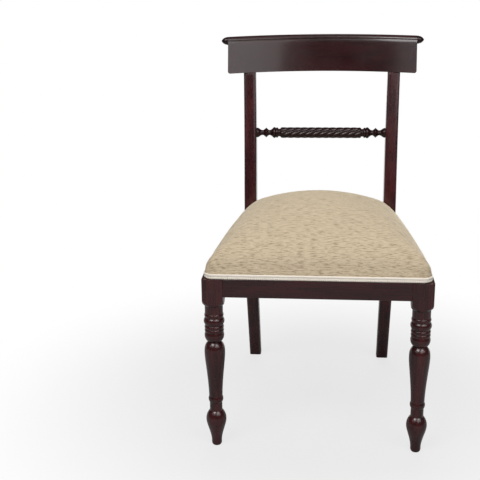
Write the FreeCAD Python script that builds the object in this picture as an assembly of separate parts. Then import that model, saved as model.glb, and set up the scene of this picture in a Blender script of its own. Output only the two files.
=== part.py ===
import FreeCAD, Part
import math
import os

# Dining chair with a rope-twisted back rail, in millimetres.
# +Z is up, the front faces -Y, and left is -X. Pieces are drawn with the front leg axes at Y = 0
# and the floor at Z = 0, and are moved at the end so that the origin is under the middle of the chair.

V = FreeCAD.Vector
UP = V(0, 0, 1)

# Seat frame
LEG_SPACING = 443.5
SEAT_FRAME_DEPTH = 375.0        # front leg axes to the front of the back posts
SEAT_RAIL_TOP = 401.0
SEAT_RAIL_HEIGHT = 40.0
SEAT_RAIL_THICKNESS = 24.0
RAIL_EDGE_RADIUS = 1.5
RAIL_SETBACK = 0.8              # front rail behind the front of the leg blocks

# Glued joints
TENON_THICKNESS = 10.0
TENON_SHOULDER = 5.0            # shoulder above and below a tenon
FRONT_TENON_LENGTH = 20.0
SIDE_TENON_LENGTH = 18.0
BACK_TENON_LENGTH = 18.0
TENON_WEB = 1.5                 # wood between the two tenons that enter a post
GLUE_GAP = 0.15
CUT_OVERLAP = 2.0               # reach of a cutting shape past what it cuts

# Front legs, heights from the floor
BLOCK_SIDE = 45.5
BLOCK_DROP = 13.0               # square part below the rails
BLOCK_EDGE_RADIUS = 2.0
TOE_RADIUS = 9.0
TOE_ROUNDING = 6.0
TOE_BULGE = 0.6
ANKLE_RADIUS = 11.4
BULB_RADIUS = 22.6
BULB_HEIGHT = 64.0
NECK_RADIUS = 14.0
NECK_BOTTOM = 86.0
RING_RADIUS = 16.5
RING_BOTTOM = 106.0
RING_WIDTH = 14.0
VASE_FOOT_RADIUS = 14.9
VASE_RADIUS = 22.7
VASE_CAP = 25.0                 # from the widest part of the vase to the neck above it
BULB_CURVE = [(0.23, 0.38), (0.73, 0.72)]   # shares of the change in radius and in height
BULB_CAP_CURVE = [(0.30, 0.58)]
VASE_CURVE = [(0.10, 0.20), (0.45, 0.52), (0.86, 0.82)]
VASE_CAP_CURVE = [(0.26, 0.64)]

# Collar of rings between the vase and the block, from the top down
SHOULDER_HEIGHT = 12.0
SHOULDER_BULGE = 1.4
COLLAR_RADIUS = 19.7
COLLAR_NECK = 18.0
BEAD_WIDTH = 8.0
BEAD_RISE = 1.4
TORUS_WIDTH = 16.0
TORUS_RISE = 3.0
QUIRK_WIDTH = 1.6
CUP_HEIGHT = 23.0
CUP_RISE = 1.7
CUP_RIM = 14.0                  # widest part of the cup, above the neck of the vase
CUP_CURVE = [(0.62, 0.36)]

# Back posts
POST_SPACING_FOOT = 348.5
POST_SPACING_SEAT = 346.3
POST_SPACING_CREST = 354.5
POST_WIDTH_FOOT = 30.0
POST_WIDTH_SEAT = 30.6
POST_WIDTH_CREST = 29.9
POST_DEPTH_FOOT = 28.0
POST_DEPTH_SEAT = 40.0
POST_DEPTH_CREST = 26.0
POST_TOP = 782.0
FOOT_SWEEP = 117.5              # rear feet behind the seat's posts
SABRE_ANGLE = 23.75
RAKE_ANGLE = 12.0
RAKE_BEND = 63.0                # seat rail to the corner that the bend rounds off
POST_FRONT_RADIUS = 5.0
POST_BACK_RADIUS = 3.0

# Crest
CREST_WIDTH = 460.0
CREST_HEIGHT = 91.0             # along the rake
CREST_THICKNESS = 22.0
CREST_BOW = 31.0
CREST_TILT = 5.5                # rise of the bowed bottom edge towards the back
CREST_PROUD = 1.0
CREST_CORNER_RADIUS = 6.0
ROLL_RADIUS = 10.0
ROLL_PROUD = 1.2
CREST_TENON_WIDTH = 16.0
CREST_TENON_DEPTH = 10.0
CREST_TENON_LENGTH = 28.0

# Finials
FINIAL_RADIUS = 9.6
FINIAL_BEAD_WIDTH = 5.4
FINIAL_BEAD_RISE = 0.7
FINIAL_COLLAR = 9.0
FINIAL_NECK_RADIUS = 6.0
FINIAL_NECK_BULGE = 1.2
FINIAL_LENGTH = 17.0
FINIAL_HOLLOW = 0.5
FINIAL_TIP_RADIUS = 1.6
FINIAL_TIP_FLAT = 0.3
FINIAL_TIP_BULGE = 0.6
SPIGOT_RADIUS = 4.0
SPIGOT_LENGTH = 12.0

# Rope rail
ROPE_RAIL_HEIGHT = 635.0
ROPE_RADIUS = 13.3
ROPE_STRANDS = 8
ROPE_LEAD = 140.0
ROPE_GROOVE = 2.1
ROPE_CORE_RADIUS = 9.4
ROPE_CORE_LIP = 0.2             # rounded strand ends above the core
ROPE_STEPS_PER_TURN = 26
ROPE_LEAST_STEPS = 8
POINTS_PER_STRAND = 4
ROPE_END_LENGTH = 59.0          # turned end beside each post
ROPE_END_ROUNDING = 5.0
ROPE_END_STEPS = [0.0, 0.1, 0.35]
BELL_RADIUS = 12.0
BELL_LENGTH = 15.0
BELL_LIP = 2.5
BELL_CURVE = [(0.28, 0.30), (0.80, 0.64)]
WAIST_RADIUS = 6.3
DIAMOND_RADIUS = 12.2
DIAMOND_WIDTH = 14.0
DIAMOND_LIP = 1.6               # rounded edge round the middle of the diamond
DIAMOND_BULGE = 0.7
DIAMOND_GAP = 2.0               # waist on each side of the diamond
OGEE_LENGTH = 8.0
OGEE_HOLLOW = 0.9
LARGE_RING_RADIUS = 13.7
LARGE_RING_WIDTH = 7.0
LARGE_RING_RISE = 1.8
SMALL_RING_RADIUS = 12.8
SMALL_RING_WIDTH = 6.0
SMALL_RING_RISE = 1.6
ROPE_TENON_RADIUS = 5.5
ROPE_TENON_LENGTH = 16.0

# Seat pad
PAD_INSET = 2.0
PAD_EDGE = 14.0                 # upright edge behind the braid
PAD_CROWN = 123.5
PAD_CROWN_FROM_FRONT = 272.0
PAD_FRONT_ROLL = 61.0
PAD_REAR_ROLL = 65.0
PAD_SIDE_ROLL = 91.5
ROLL_FADE = 0.80                # side rolls shrink more slowly than the pad does towards its ends
ROLL_LIMIT = 0.98               # largest side roll, as a share of the height above the edge
PAD_LIP = 1.0                   # least rise of a section above the upright edge
PAD_STATIONS = [0.0, 0.025, 0.065, 0.13, 0.23, 0.36, 0.52, 0.68, 0.80, 0.88, 0.935, 0.97, 0.99, 1.0]
PAD_CORNER_STEPS = 5            # sections round each front corner
PAD_CORNER_RADIUS = 20.0
PAD_TONGUE = 24.0               # pad between the posts, behind their front
POST_GAP = 1.0
COVER_THICKNESS = 1.5
COVER_TURN_UNDER = 40.0
BOARD_THICKNESS = 12.0
GIMP_HEIGHT = 12.0
GIMP_THICKNESS = 2.0
GIMP_LIFT = 0.4

# Underside
CORNER_BLOCK_LENGTH = 45.0
CORNER_BLOCK_HEIGHT = 30.0
CORNER_BLOCK_DROP = 4.0         # below the top of the rails
CORNER_BLOCK_GAP = 2.0
SCREW_RADIUS = 2.0
SCREW_HEAD_RADIUS = 4.0
SCREW_HEAD_HEIGHT = 2.4
SCREW_HEAD_FLAT = 2.4           # radius of the flat on top of the head
SCREW_HEAD_BULGE = 1.0
SCREW_TIP_RADIUS = 0.4
SCREW_CLEARANCE = 0.4
BRACE_SCREW_GRIP = 9.0          # wood under the head of a brace screw
BRACE_SCREW_BITE = 18.0
BRACE_SCREW_INSET = 20.0        # from the outer end of a corner block
SEAT_SCREW_BITE = 9.0
DUST_COVER_THICKNESS = 0.8
DUST_COVER_GAP = 2.0
STAPLE_CROWN = 10.0
STAPLE_WIRE = 0.6
STAPLE_WIDTH = 1.2
STAPLE_LEG = 7.0
STAPLE_PITCH = 60.0
STAPLE_MARGIN = 6.0

RAIL_BOTTOM = SEAT_RAIL_TOP - SEAT_RAIL_HEIGHT
BLOCK_HALF = BLOCK_SIDE / 2
BLOCK_BOTTOM = RAIL_BOTTOM - BLOCK_DROP
LEG_X = LEG_SPACING / 2
FRAME_FRONT = -BLOCK_HALF
FRONT_RAIL_FRONT = FRAME_FRONT + RAIL_SETBACK
FRONT_RAIL_BACK = FRONT_RAIL_FRONT + SEAT_RAIL_THICKNESS
BACK_TENON_FRONT = SEAT_FRAME_DEPTH + SIDE_TENON_LENGTH + TENON_WEB
BACK_RAIL_FRONT = BACK_TENON_FRONT - (SEAT_RAIL_THICKNESS - TENON_THICKNESS) / 2
POST_X = POST_SPACING_SEAT / 2
POST_INNER = POST_X - POST_WIDTH_SEAT / 2
POST_OUTER = POST_X + POST_WIDTH_SEAT / 2
SIDE_SKEW = (POST_OUTER - LEG_X - BLOCK_HALF) / (SEAT_FRAME_DEPTH - BLOCK_HALF)
SKEW_STRETCH = math.hypot(1, SIDE_SKEW)
FOOT_BACK = SEAT_FRAME_DEPTH + FOOT_SWEEP + POST_DEPTH_FOOT
PAD_FRONT = FRAME_FRONT + PAD_INSET
PAD_BACK = SEAT_FRAME_DEPTH + PAD_TONGUE
PAD_TAPER = (LEG_X + BLOCK_HALF - POST_OUTER) / (SEAT_FRAME_DEPTH - FRAME_FRONT)
TAPER_STRETCH = math.hypot(1, PAD_TAPER)
CENTRE_Y = (FRAME_FRONT + FOOT_BACK) / 2
SIDES = {"left": -1, "right": 1}


def block(x0, x1, y0, y1, z0, z1):
    """Box between two corners, given in any order."""
    low = V(min(x0, x1), min(y0, y1), min(z0, z1))
    return Part.makeBox(abs(x1 - x0), abs(y1 - y0), abs(z1 - z0), low)


def prism(outline, z0, z1):
    """Straight-sided plan outline, raised from z0 to z1."""
    points = [V(x, y, z0) for x, y in outline]
    return Part.Face(Part.makePolygon(points + points[:1])).extrude(V(0, 0, z1 - z0))


def mirrored(outline, side):
    return [(x * side, y) for x, y in outline]


def line(a, b):
    return Part.LineSegment(a, b).toShape()


def arc(a, through, b):
    return Part.Arc(a, through, b).toShape()


def between(start, end, shares):
    """Stations of a turned curve from one (radius, height) to another, ending at the second."""
    return [(start[0] + a * (end[0] - start[0]), start[1] + b * (end[1] - start[1]))
            for a, b in shares] + [end]


class Turning:
    """Half outline of a turned piece, as radius against height, spun about Z."""

    def __init__(self, bottom):
        self.bottom = bottom
        self.radius = 0.0
        self.height = bottom
        self.edges = []

    def point(self, radius, height):
        return V(radius, 0, height)

    def here(self):
        return self.point(self.radius, self.height)

    def move(self, radius, height, edge):
        self.edges.append(edge)
        self.radius = radius
        self.height = height
        return self

    def straight(self, radius, height):
        return self.move(radius, height, line(self.here(), self.point(radius, height)))

    def bead(self, radius, height, rise):
        """Round swelling (or hollow, for a negative rise) up to the next station."""
        middle = self.point((self.radius + radius) / 2 + rise, (self.height + height) / 2)
        return self.move(radius, height, arc(self.here(), middle, self.point(radius, height)))

    def flow(self, stations):
        """Smooth curve through stations of (radius, height)."""
        curve = Part.BSplineCurve()
        curve.interpolate([self.here()] + [self.point(r, z) for r, z in stations])
        return self.move(*stations[-1], curve.toShape())

    def spin(self):
        self.straight(0.0, self.height)
        self.edges.append(line(self.here(), self.point(0.0, self.bottom)))
        return Part.Face(Part.Wire(self.edges)).revolve(V(0, 0, 0), UP, 360)


def rounded_path(points, tangents):
    """Edges of a path whose inner corners are rounded by arcs that start a tangent's length away."""
    edges = []
    start = points[0]
    for before, corner, after, tangent in zip(points, points[1:], points[2:], tangents):
        towards = (corner - before).normalize()
        onwards = (after - corner).normalize()
        first = corner - towards * tangent
        last = corner + onwards * tangent
        half_turn = towards.getAngle(onwards) / 2
        radius = tangent / math.tan(half_turn)
        inward = (onwards - towards).normalize()
        middle = corner + inward * (radius / math.cos(half_turn) - radius)
        edges += [line(start, first), arc(first, middle, last)]
        start = last
    edges.append(line(start, points[-1]))
    return edges


def front_leg(side):
    """Bulb foot, ankle ring, vase and stacked rings under a square block."""
    shoulder = BLOCK_BOTTOM - SHOULDER_HEIGHT
    collar = shoulder - COLLAR_NECK
    torus_top = collar - BEAD_WIDTH - QUIRK_WIDTH
    torus_bottom = torus_top - TORUS_WIDTH
    bead_top = torus_bottom - QUIRK_WIDTH
    cup_top = bead_top - 2 * BEAD_WIDTH
    vase_neck = cup_top - CUP_HEIGHT
    vase_widest = vase_neck - VASE_CAP
    ring_top = RING_BOTTOM + RING_WIDTH
    toe = (ANKLE_RADIUS, TOE_ROUNDING)
    bulb = (BULB_RADIUS, BULB_HEIGHT)
    ankle_neck = (NECK_RADIUS, NECK_BOTTOM)
    vase_foot = (VASE_FOOT_RADIUS, ring_top)
    vase = (VASE_RADIUS, vase_widest)
    cup_foot = (NECK_RADIUS, vase_neck)
    cup_rim = (COLLAR_RADIUS + CUP_RISE, vase_neck + CUP_RIM)

    leg = Turning(0.0)
    leg.straight(TOE_RADIUS, 0.0)
    leg.bead(*toe, TOE_BULGE)
    leg.flow(between(toe, bulb, BULB_CURVE) + between(bulb, ankle_neck, BULB_CAP_CURVE))
    leg.straight(NECK_RADIUS, RING_BOTTOM)
    leg.bead(*vase_foot, RING_RADIUS - (NECK_RADIUS + VASE_FOOT_RADIUS) / 2)
    leg.flow(between(vase_foot, vase, VASE_CURVE) + between(vase, cup_foot, VASE_CAP_CURVE))
    leg.flow(between(cup_foot, cup_rim, CUP_CURVE) + [(COLLAR_RADIUS, cup_top)])
    leg.bead(COLLAR_RADIUS, cup_top + BEAD_WIDTH, BEAD_RISE)
    leg.bead(COLLAR_RADIUS, bead_top, BEAD_RISE)
    leg.straight(COLLAR_RADIUS, torus_bottom)
    leg.bead(COLLAR_RADIUS, torus_top, TORUS_RISE)
    leg.straight(COLLAR_RADIUS, collar - BEAD_WIDTH)
    leg.bead(COLLAR_RADIUS, collar, BEAD_RISE)
    leg.straight(COLLAR_RADIUS, shoulder)
    turned = leg.spin()

    square = block(-BLOCK_HALF, BLOCK_HALF, -BLOCK_HALF, BLOCK_HALF, shoulder, SEAT_RAIL_TOP)
    square = square.makeFillet(BLOCK_EDGE_RADIUS, upright_edges(square))
    corner = BLOCK_HALF * math.sqrt(2)
    pommel = Turning(shoulder)
    pommel.straight(COLLAR_RADIUS, shoulder)
    pommel.bead(corner, BLOCK_BOTTOM + SHOULDER_HEIGHT / 2, SHOULDER_BULGE)
    pommel.straight(corner, SEAT_RAIL_TOP)
    piece = turned.fuse(square.common(pommel.spin())).removeSplitter()
    piece.translate(V(side * LEG_X, 0, 0))
    return piece


def upright_edges(shape):
    return [e for e in shape.Edges if e.BoundBox.ZLength > e.BoundBox.XLength + e.BoundBox.YLength]


def lengthwise_edges(shape, axis):
    """Edges that run along one axis, "X" or "Y", more than along the other two together."""
    found = []
    for edge in shape.Edges:
        spans = {"X": edge.BoundBox.XLength, "Y": edge.BoundBox.YLength, "Z": edge.BoundBox.ZLength}
        if spans[axis] > sum(spans.values()) - spans[axis]:
            found.append(edge)
    return found


def side_rail_middle(y):
    """Distance of a side rail's middle line from the chair's centre plane."""
    return LEG_X + BLOCK_HALF - SEAT_RAIL_THICKNESS * SKEW_STRETCH / 2 + SIDE_SKEW * (y - BLOCK_HALF)


def side_rail_strip(y0, y1, thickness):
    """Plan of a strip of the right side rail, square to the chair at both ends."""
    half = thickness * SKEW_STRETCH / 2
    near = side_rail_middle(y0)
    far = side_rail_middle(y1)
    return [(near - half, y0), (near + half, y0), (far + half, y1), (far - half, y1)]


def side_rail_inner(y):
    return side_rail_middle(y) - SEAT_RAIL_THICKNESS * SKEW_STRETCH / 2


def side_tenons(side, gap):
    z0 = RAIL_BOTTOM + TENON_SHOULDER - gap
    z1 = SEAT_RAIL_TOP - TENON_SHOULDER + gap
    reach = SIDE_TENON_LENGTH + gap
    thickness = TENON_THICKNESS + 2 * gap
    front = side_rail_strip(BLOCK_HALF - reach, BLOCK_HALF, thickness)
    back = side_rail_strip(SEAT_FRAME_DEPTH, SEAT_FRAME_DEPTH + reach, thickness)
    return [prism(mirrored(outline, side), z0, z1) for outline in (front, back)]


def cross_tenons(half_length, middle_y, length, gap):
    """Pair of tenons at the ends of a rail that runs along X."""
    z0 = RAIL_BOTTOM + TENON_SHOULDER - gap
    z1 = SEAT_RAIL_TOP - TENON_SHOULDER + gap
    half = TENON_THICKNESS / 2 + gap
    reach = half_length + length + gap
    return [block(s * half_length, s * reach, middle_y - half, middle_y + half, z0, z1)
            for s in SIDES.values()]


def front_tenons(gap):
    middle = FRONT_RAIL_FRONT + SEAT_RAIL_THICKNESS / 2
    return cross_tenons(LEG_X - BLOCK_HALF, middle, FRONT_TENON_LENGTH, gap)


def back_tenons(gap):
    middle = BACK_RAIL_FRONT + SEAT_RAIL_THICKNESS / 2
    return cross_tenons(POST_INNER, middle, BACK_TENON_LENGTH, gap)


def front_rail():
    half = LEG_X - BLOCK_HALF
    rail = block(-half, half, FRONT_RAIL_FRONT, FRONT_RAIL_BACK, RAIL_BOTTOM, SEAT_RAIL_TOP)
    rail = rail.makeFillet(RAIL_EDGE_RADIUS, lengthwise_edges(rail, "X"))
    return rail.multiFuse(front_tenons(0.0))


def back_rail():
    rail = block(-POST_INNER, POST_INNER, BACK_RAIL_FRONT, BACK_RAIL_FRONT + SEAT_RAIL_THICKNESS,
                 RAIL_BOTTOM, SEAT_RAIL_TOP)
    rail = rail.makeFillet(RAIL_EDGE_RADIUS, lengthwise_edges(rail, "X"))
    return rail.multiFuse(back_tenons(0.0))


def side_rail(side):
    outline = side_rail_strip(BLOCK_HALF, SEAT_FRAME_DEPTH, SEAT_RAIL_THICKNESS)
    rail = prism(mirrored(outline, side), RAIL_BOTTOM, SEAT_RAIL_TOP)
    rail = rail.makeFillet(RAIL_EDGE_RADIUS, lengthwise_edges(rail, "Y"))
    return rail.multiFuse(side_tenons(side, 0.0))


RAKE = math.radians(RAKE_ANGLE)
TILT = math.radians(CREST_TILT)
RAKE_UP = V(0, math.sin(RAKE), math.cos(RAKE))
RAKE_BACK = V(0, math.cos(RAKE), -math.sin(RAKE))
CREST_BACK = V(0, math.cos(TILT), math.sin(TILT))
CREST_AXIS = V(0, -math.sin(TILT), math.cos(TILT))
BEND_CORNER = SEAT_RAIL_TOP + RAKE_BEND


def post_front(z):
    """Front of a post on its straight, raked length above the bend."""
    return SEAT_FRAME_DEPTH + (z - BEND_CORNER) * math.tan(RAKE)


POST_CREST_X = POST_SPACING_CREST / 2
SHOULDER_FRONT = V(0, post_front(POST_TOP), POST_TOP)
SHOULDER_BACK = SHOULDER_FRONT + CREST_BACK * POST_DEPTH_CREST


def bowed_offset(run, offset, share):
    """Sideways offset of a long arc, part of the way along, that leaves its start without a kink."""
    size = abs(offset)
    radius = (run ** 2 + size ** 2) / (2 * size)
    return math.copysign(radius - math.sqrt(radius ** 2 - (share * run) ** 2), offset)


def post_edge_line(foot, seat, crest):
    """Front view of one edge of a post: foot, straight length at the seat, then out to the crest."""
    height = SHOULDER_BACK.z + CUT_OVERLAP
    low = [V(seat + bowed_offset(RAIL_BOTTOM, foot - seat, s), 0, RAIL_BOTTOM * (1 - s))
           for s in (1.0, 0.5, 0.0)]
    rise = height - SEAT_RAIL_TOP
    high = [V(seat + bowed_offset(rise, crest - seat, s), 0, SEAT_RAIL_TOP + rise * s)
            for s in (0.0, 0.5, 1.0)]
    return [arc(*low), line(low[2], high[0]), arc(*high)]


def post_body(side):
    """Sabre leg and raked upright: a side view and a front view cut through each other."""
    sabre_corner = FOOT_SWEEP / math.tan(math.radians(SABRE_ANGLE))
    sabre_tangent = RAIL_BOTTOM - sabre_corner
    foot_front = V(0, SEAT_FRAME_DEPTH + FOOT_SWEEP, 0)
    seat_back = SEAT_FRAME_DEPTH + POST_DEPTH_SEAT
    front = rounded_path([foot_front, V(0, SEAT_FRAME_DEPTH, sabre_corner),
                          V(0, SEAT_FRAME_DEPTH, BEND_CORNER), SHOULDER_FRONT], [sabre_tangent, RAKE_BEND])
    back = rounded_path([V(0, FOOT_BACK, 0), V(0, seat_back, sabre_corner),
                         V(0, seat_back, BEND_CORNER), SHOULDER_BACK], [sabre_tangent, RAKE_BEND])
    foot = line(V(0, FOOT_BACK, 0), foot_front)
    top = line(SHOULDER_FRONT, SHOULDER_BACK)
    outline = Part.Wire(Part.__sortEdges__(front + back + [foot, top]))
    reach = POST_SPACING_CREST
    side_view = Part.Face(outline).extrude(V(reach, 0, 0))

    def edge_line(sign):
        return post_edge_line(POST_SPACING_FOOT / 2 + sign * POST_WIDTH_FOOT / 2,
                              POST_SPACING_SEAT / 2 + sign * POST_WIDTH_SEAT / 2,
                              POST_SPACING_CREST / 2 + sign * POST_WIDTH_CREST / 2)

    inner = edge_line(-1)
    outer = edge_line(1)
    bottom = line(inner[0].Vertexes[0].Point, outer[0].Vertexes[0].Point)
    lid = line(inner[-1].Vertexes[-1].Point, outer[-1].Vertexes[-1].Point)
    front_view = Part.Face(Part.Wire(Part.__sortEdges__(inner + outer + [bottom, lid])))
    front_view = front_view.extrude(V(0, FOOT_BACK + CUT_OVERLAP, 0))
    body = side_view.common(front_view)
    body = body.makeFillet(POST_FRONT_RADIUS, post_corner_edges(body, True))
    body = body.makeFillet(POST_BACK_RADIUS, post_corner_edges(body, False))
    return body if side > 0 else body.mirror(V(0, 0, 0), V(1, 0, 0))


def post_middle_y(z):
    """Half way between the front and back of a post at one height."""
    share = (z - BEND_CORNER) / (POST_TOP - BEND_CORNER)
    back = SEAT_FRAME_DEPTH + POST_DEPTH_SEAT
    back += share * (SHOULDER_BACK.y - back)
    return (post_front(z) + back) / 2


def post_corner_edges(body, front):
    """Long corner edges of a post: its front ones have wood behind them, its back ones in front."""
    found = []
    step = POST_WIDTH_FOOT / 4
    for edge in body.Edges:
        if edge.BoundBox.ZLength < POST_DEPTH_SEAT:
            continue
        middle = edge.valueAt((edge.FirstParameter + edge.LastParameter) / 2)
        inward = step if middle.x < POST_X else -step
        probe = middle + V(inward, step if front else -step, 0)
        if body.isInside(probe, 0.01, True):
            found.append(edge)
    return found


def crest_tenon(side, gap):
    """Tenon on top of a post, leaning with the rake."""
    half = CREST_TENON_WIDTH / 2 + gap
    inset = (POST_DEPTH_CREST - CREST_TENON_DEPTH) / 2 - gap
    start = SHOULDER_FRONT + CREST_BACK * inset
    end = SHOULDER_BACK - CREST_BACK * inset
    x = side * POST_CREST_X
    corners = [V(x - half, start.y, start.z), V(x + half, start.y, start.z),
               V(x + half, end.y, end.z), V(x - half, end.y, end.z)]
    face = Part.Face(Part.makePolygon(corners + corners[:1]))
    return face.extrude(RAKE_UP * (CREST_TENON_LENGTH + gap))


CREST_RADIUS = CREST_WIDTH ** 2 / (8 * CREST_BOW) + CREST_BOW / 2
CREST_PIVOT = SHOULDER_FRONT - CREST_BACK * (CREST_PROUD + math.sqrt(CREST_RADIUS ** 2 - POST_CREST_X ** 2))
CREST_FOOT = CREST_PIVOT + CREST_BACK * CREST_RADIUS


def roll_centre(x):
    """Middle of the rounded top of the crest, at a distance x from the chair's centre plane."""
    middle = CREST_FOOT + RAKE_UP * (CREST_HEIGHT - ROLL_RADIUS) + RAKE_BACK * (ROLL_RADIUS - ROLL_PROUD)
    arm = middle - CREST_PIVOT
    swing = arm.dot(CREST_BACK)
    height = arm.dot(CREST_AXIS)
    return CREST_PIVOT + CREST_BACK * math.sqrt(swing ** 2 - x ** 2) + CREST_AXIS * height + V(x, 0, 0)


def crest_rail():
    """Board with a rolled top, swung about an upright axis in front of the chair, then cut to length."""
    def at(back, up):
        return CREST_FOOT + RAKE_BACK * back + RAKE_UP * up

    roll_up = CREST_HEIGHT - ROLL_RADIUS
    roll_back = ROLL_RADIUS - ROLL_PROUD
    quirk = roll_up - math.sqrt(ROLL_RADIUS ** 2 - roll_back ** 2)
    bottom_back = CREST_FOOT + CREST_BACK * (CREST_THICKNESS / math.cos(RAKE + TILT))
    quarter = ROLL_RADIUS / math.sqrt(2)
    section = [line(CREST_FOOT, at(0, quirk)),
               arc(at(0, quirk), at(-ROLL_PROUD, roll_up), at(roll_back, CREST_HEIGHT)),
               arc(at(roll_back, CREST_HEIGHT), at(roll_back + quarter, roll_up + quarter),
                   at(roll_back + ROLL_RADIUS, roll_up)),
               line(at(roll_back + ROLL_RADIUS, roll_up), bottom_back),
               line(bottom_back, CREST_FOOT)]
    half_turn = math.degrees(math.asin(CREST_WIDTH / 2 / CREST_RADIUS)) + CUT_OVERLAP
    face = Part.Face(Part.Wire(section))
    face.rotate(CREST_PIVOT, CREST_AXIS, -half_turn)
    board = face.revolve(CREST_PIVOT, CREST_AXIS, 2 * half_turn)

    half = CREST_WIDTH / 2
    drop = CREST_RADIUS - math.sqrt(CREST_RADIUS ** 2 - half ** 2)
    low = CREST_FOOT.z - drop * math.sin(TILT)
    high = low + 2 * CREST_HEIGHT
    r = CREST_CORNER_RADIUS
    bend = r * (1 - math.sqrt(0.5))
    outline = [line(V(-half + r, 0, low), V(half - r, 0, low)),
               arc(V(half - r, 0, low), V(half - bend, 0, low + bend), V(half, 0, low + r)),
               line(V(half, 0, low + r), V(half, 0, high)),
               line(V(half, 0, high), V(-half, 0, high)),
               line(V(-half, 0, high), V(-half, 0, low + r)),
               arc(V(-half, 0, low + r), V(-half + bend, 0, low + bend), V(-half + r, 0, low))]
    board = board.common(Part.Face(Part.Wire(outline)).extrude(V(0, 2 * FOOT_BACK, 0)))
    for side in SIDES.values():
        end = roll_centre(side * half)
        bore = Part.makeCylinder(SPIGOT_RADIUS + GLUE_GAP, SPIGOT_LENGTH + GLUE_GAP, end, V(-side, 0, 0))
        board = board.cut(bore).cut(crest_tenon(side, GLUE_GAP))
    return board


def finial(side):
    """Turned bud: bead collar, hollow cone and a small rounded tip, on a round spigot."""
    bud = Turning(-SPIGOT_LENGTH)
    bud.straight(SPIGOT_RADIUS, -SPIGOT_LENGTH)
    bud.straight(SPIGOT_RADIUS, 0.0)
    bud.straight(FINIAL_RADIUS - FINIAL_BEAD_RISE, 0.0)
    bud.bead(FINIAL_RADIUS - FINIAL_BEAD_RISE, FINIAL_BEAD_WIDTH, FINIAL_BEAD_RISE)
    bud.bead(FINIAL_NECK_RADIUS, FINIAL_COLLAR, FINIAL_NECK_BULGE)
    bud.bead(FINIAL_TIP_RADIUS, FINIAL_LENGTH - FINIAL_TIP_RADIUS, -FINIAL_HOLLOW)
    bud.bead(FINIAL_TIP_FLAT, FINIAL_LENGTH, FINIAL_TIP_BULGE)
    piece = bud.spin()
    piece.rotate(V(0, 0, 0), V(0, 1, 0), 90 * side)
    piece.translate(roll_centre(side * CREST_WIDTH / 2))
    return piece


def rope_end_profile(turning):
    """Turned end of the rope rail, from its post towards the twist."""
    turning.straight(BELL_RADIUS, turning.bottom)
    turning.straight(BELL_RADIUS, BELL_LIP)
    turning.flow(between((BELL_RADIUS, BELL_LIP), (WAIST_RADIUS, BELL_LENGTH), BELL_CURVE))
    diamond = BELL_LENGTH + DIAMOND_GAP
    lip_start = diamond + (DIAMOND_WIDTH - DIAMOND_LIP) / 2
    lip_radius = DIAMOND_RADIUS - DIAMOND_BULGE
    turning.straight(WAIST_RADIUS, diamond)
    turning.straight(lip_radius, lip_start)
    turning.bead(lip_radius, lip_start + DIAMOND_LIP, DIAMOND_BULGE)
    turning.straight(WAIST_RADIUS, diamond + DIAMOND_WIDTH)
    ogee = diamond + DIAMOND_WIDTH + DIAMOND_GAP
    large_ring = ogee + OGEE_LENGTH
    small_ring = large_ring + LARGE_RING_WIDTH
    twist = small_ring + SMALL_RING_WIDTH
    turning.straight(WAIST_RADIUS, ogee)
    turning.bead(LARGE_RING_RADIUS - LARGE_RING_RISE, large_ring, -OGEE_HOLLOW)
    turning.bead(LARGE_RING_RADIUS - LARGE_RING_RISE, small_ring, LARGE_RING_RISE)
    turning.straight(SMALL_RING_RADIUS - SMALL_RING_RISE, small_ring)
    turning.bead(SMALL_RING_RADIUS - SMALL_RING_RISE, twist, SMALL_RING_RISE)
    turning.straight(ROPE_CORE_RADIUS, twist)
    turning.straight(ROPE_CORE_RADIUS, ROPE_END_LENGTH + ROPE_END_ROUNDING)
    return turning


def rope_twist(length):
    """Rope along X: a lobed section that turns as it goes, in flat facets, rounded at both ends."""
    steps = max(ROPE_LEAST_STEPS, round(ROPE_STEPS_PER_TURN * length / ROPE_LEAD))
    inner = [ROPE_END_ROUNDING + (length - 2 * ROPE_END_ROUNDING) * i / steps for i in range(steps + 1)]
    ends = [step * ROPE_END_ROUNDING for step in ROPE_END_STEPS]
    stations = ends + inner + [length - x for x in reversed(ends)]
    core = ROPE_CORE_RADIUS + ROPE_CORE_LIP
    rings = []
    for x in stations:
        depth = min(x, length - x, ROPE_END_ROUNDING) / ROPE_END_ROUNDING
        swell = math.sqrt(1 - (1 - depth) ** 2)
        ring = []
        for corner in range(ROPE_STRANDS * POINTS_PER_STRAND):
            along = corner % POINTS_PER_STRAND / POINTS_PER_STRAND
            lobe = ROPE_RADIUS - ROPE_GROOVE * (1 - math.sin(math.pi * along))
            radius = core + (lobe - core) * swell
            turn = 2 * math.pi * (corner / (ROPE_STRANDS * POINTS_PER_STRAND) - x / ROPE_LEAD)
            ring.append(V(x, radius * math.cos(turn), radius * math.sin(turn)))
        rings.append(ring)
    faces = [Part.Face(Part.makePolygon(ring + ring[:1])) for ring in (rings[0], rings[-1])]
    count = len(rings[0])
    for near, far in zip(rings, rings[1:]):
        for i in range(count):
            j = (i + 1) % count
            faces.append(Part.Face(Part.makePolygon([near[i], near[j], far[i], near[i]])))
            faces.append(Part.Face(Part.makePolygon([near[j], far[j], far[i], near[j]])))
    rope = Part.Solid(Part.Shell(faces))
    if rope.Volume < 0:
        rope.reverse()
    return rope


def rope_axis_x():
    """Inner face of a post at the height of the rope rail."""
    rise = SHOULDER_BACK.z + CUT_OVERLAP - SEAT_RAIL_TOP
    crest_inner = POST_SPACING_CREST / 2 - POST_WIDTH_CREST / 2
    share = (ROPE_RAIL_HEIGHT - SEAT_RAIL_TOP) / rise
    return POST_INNER + bowed_offset(rise, crest_inner - POST_INNER, share)


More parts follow.
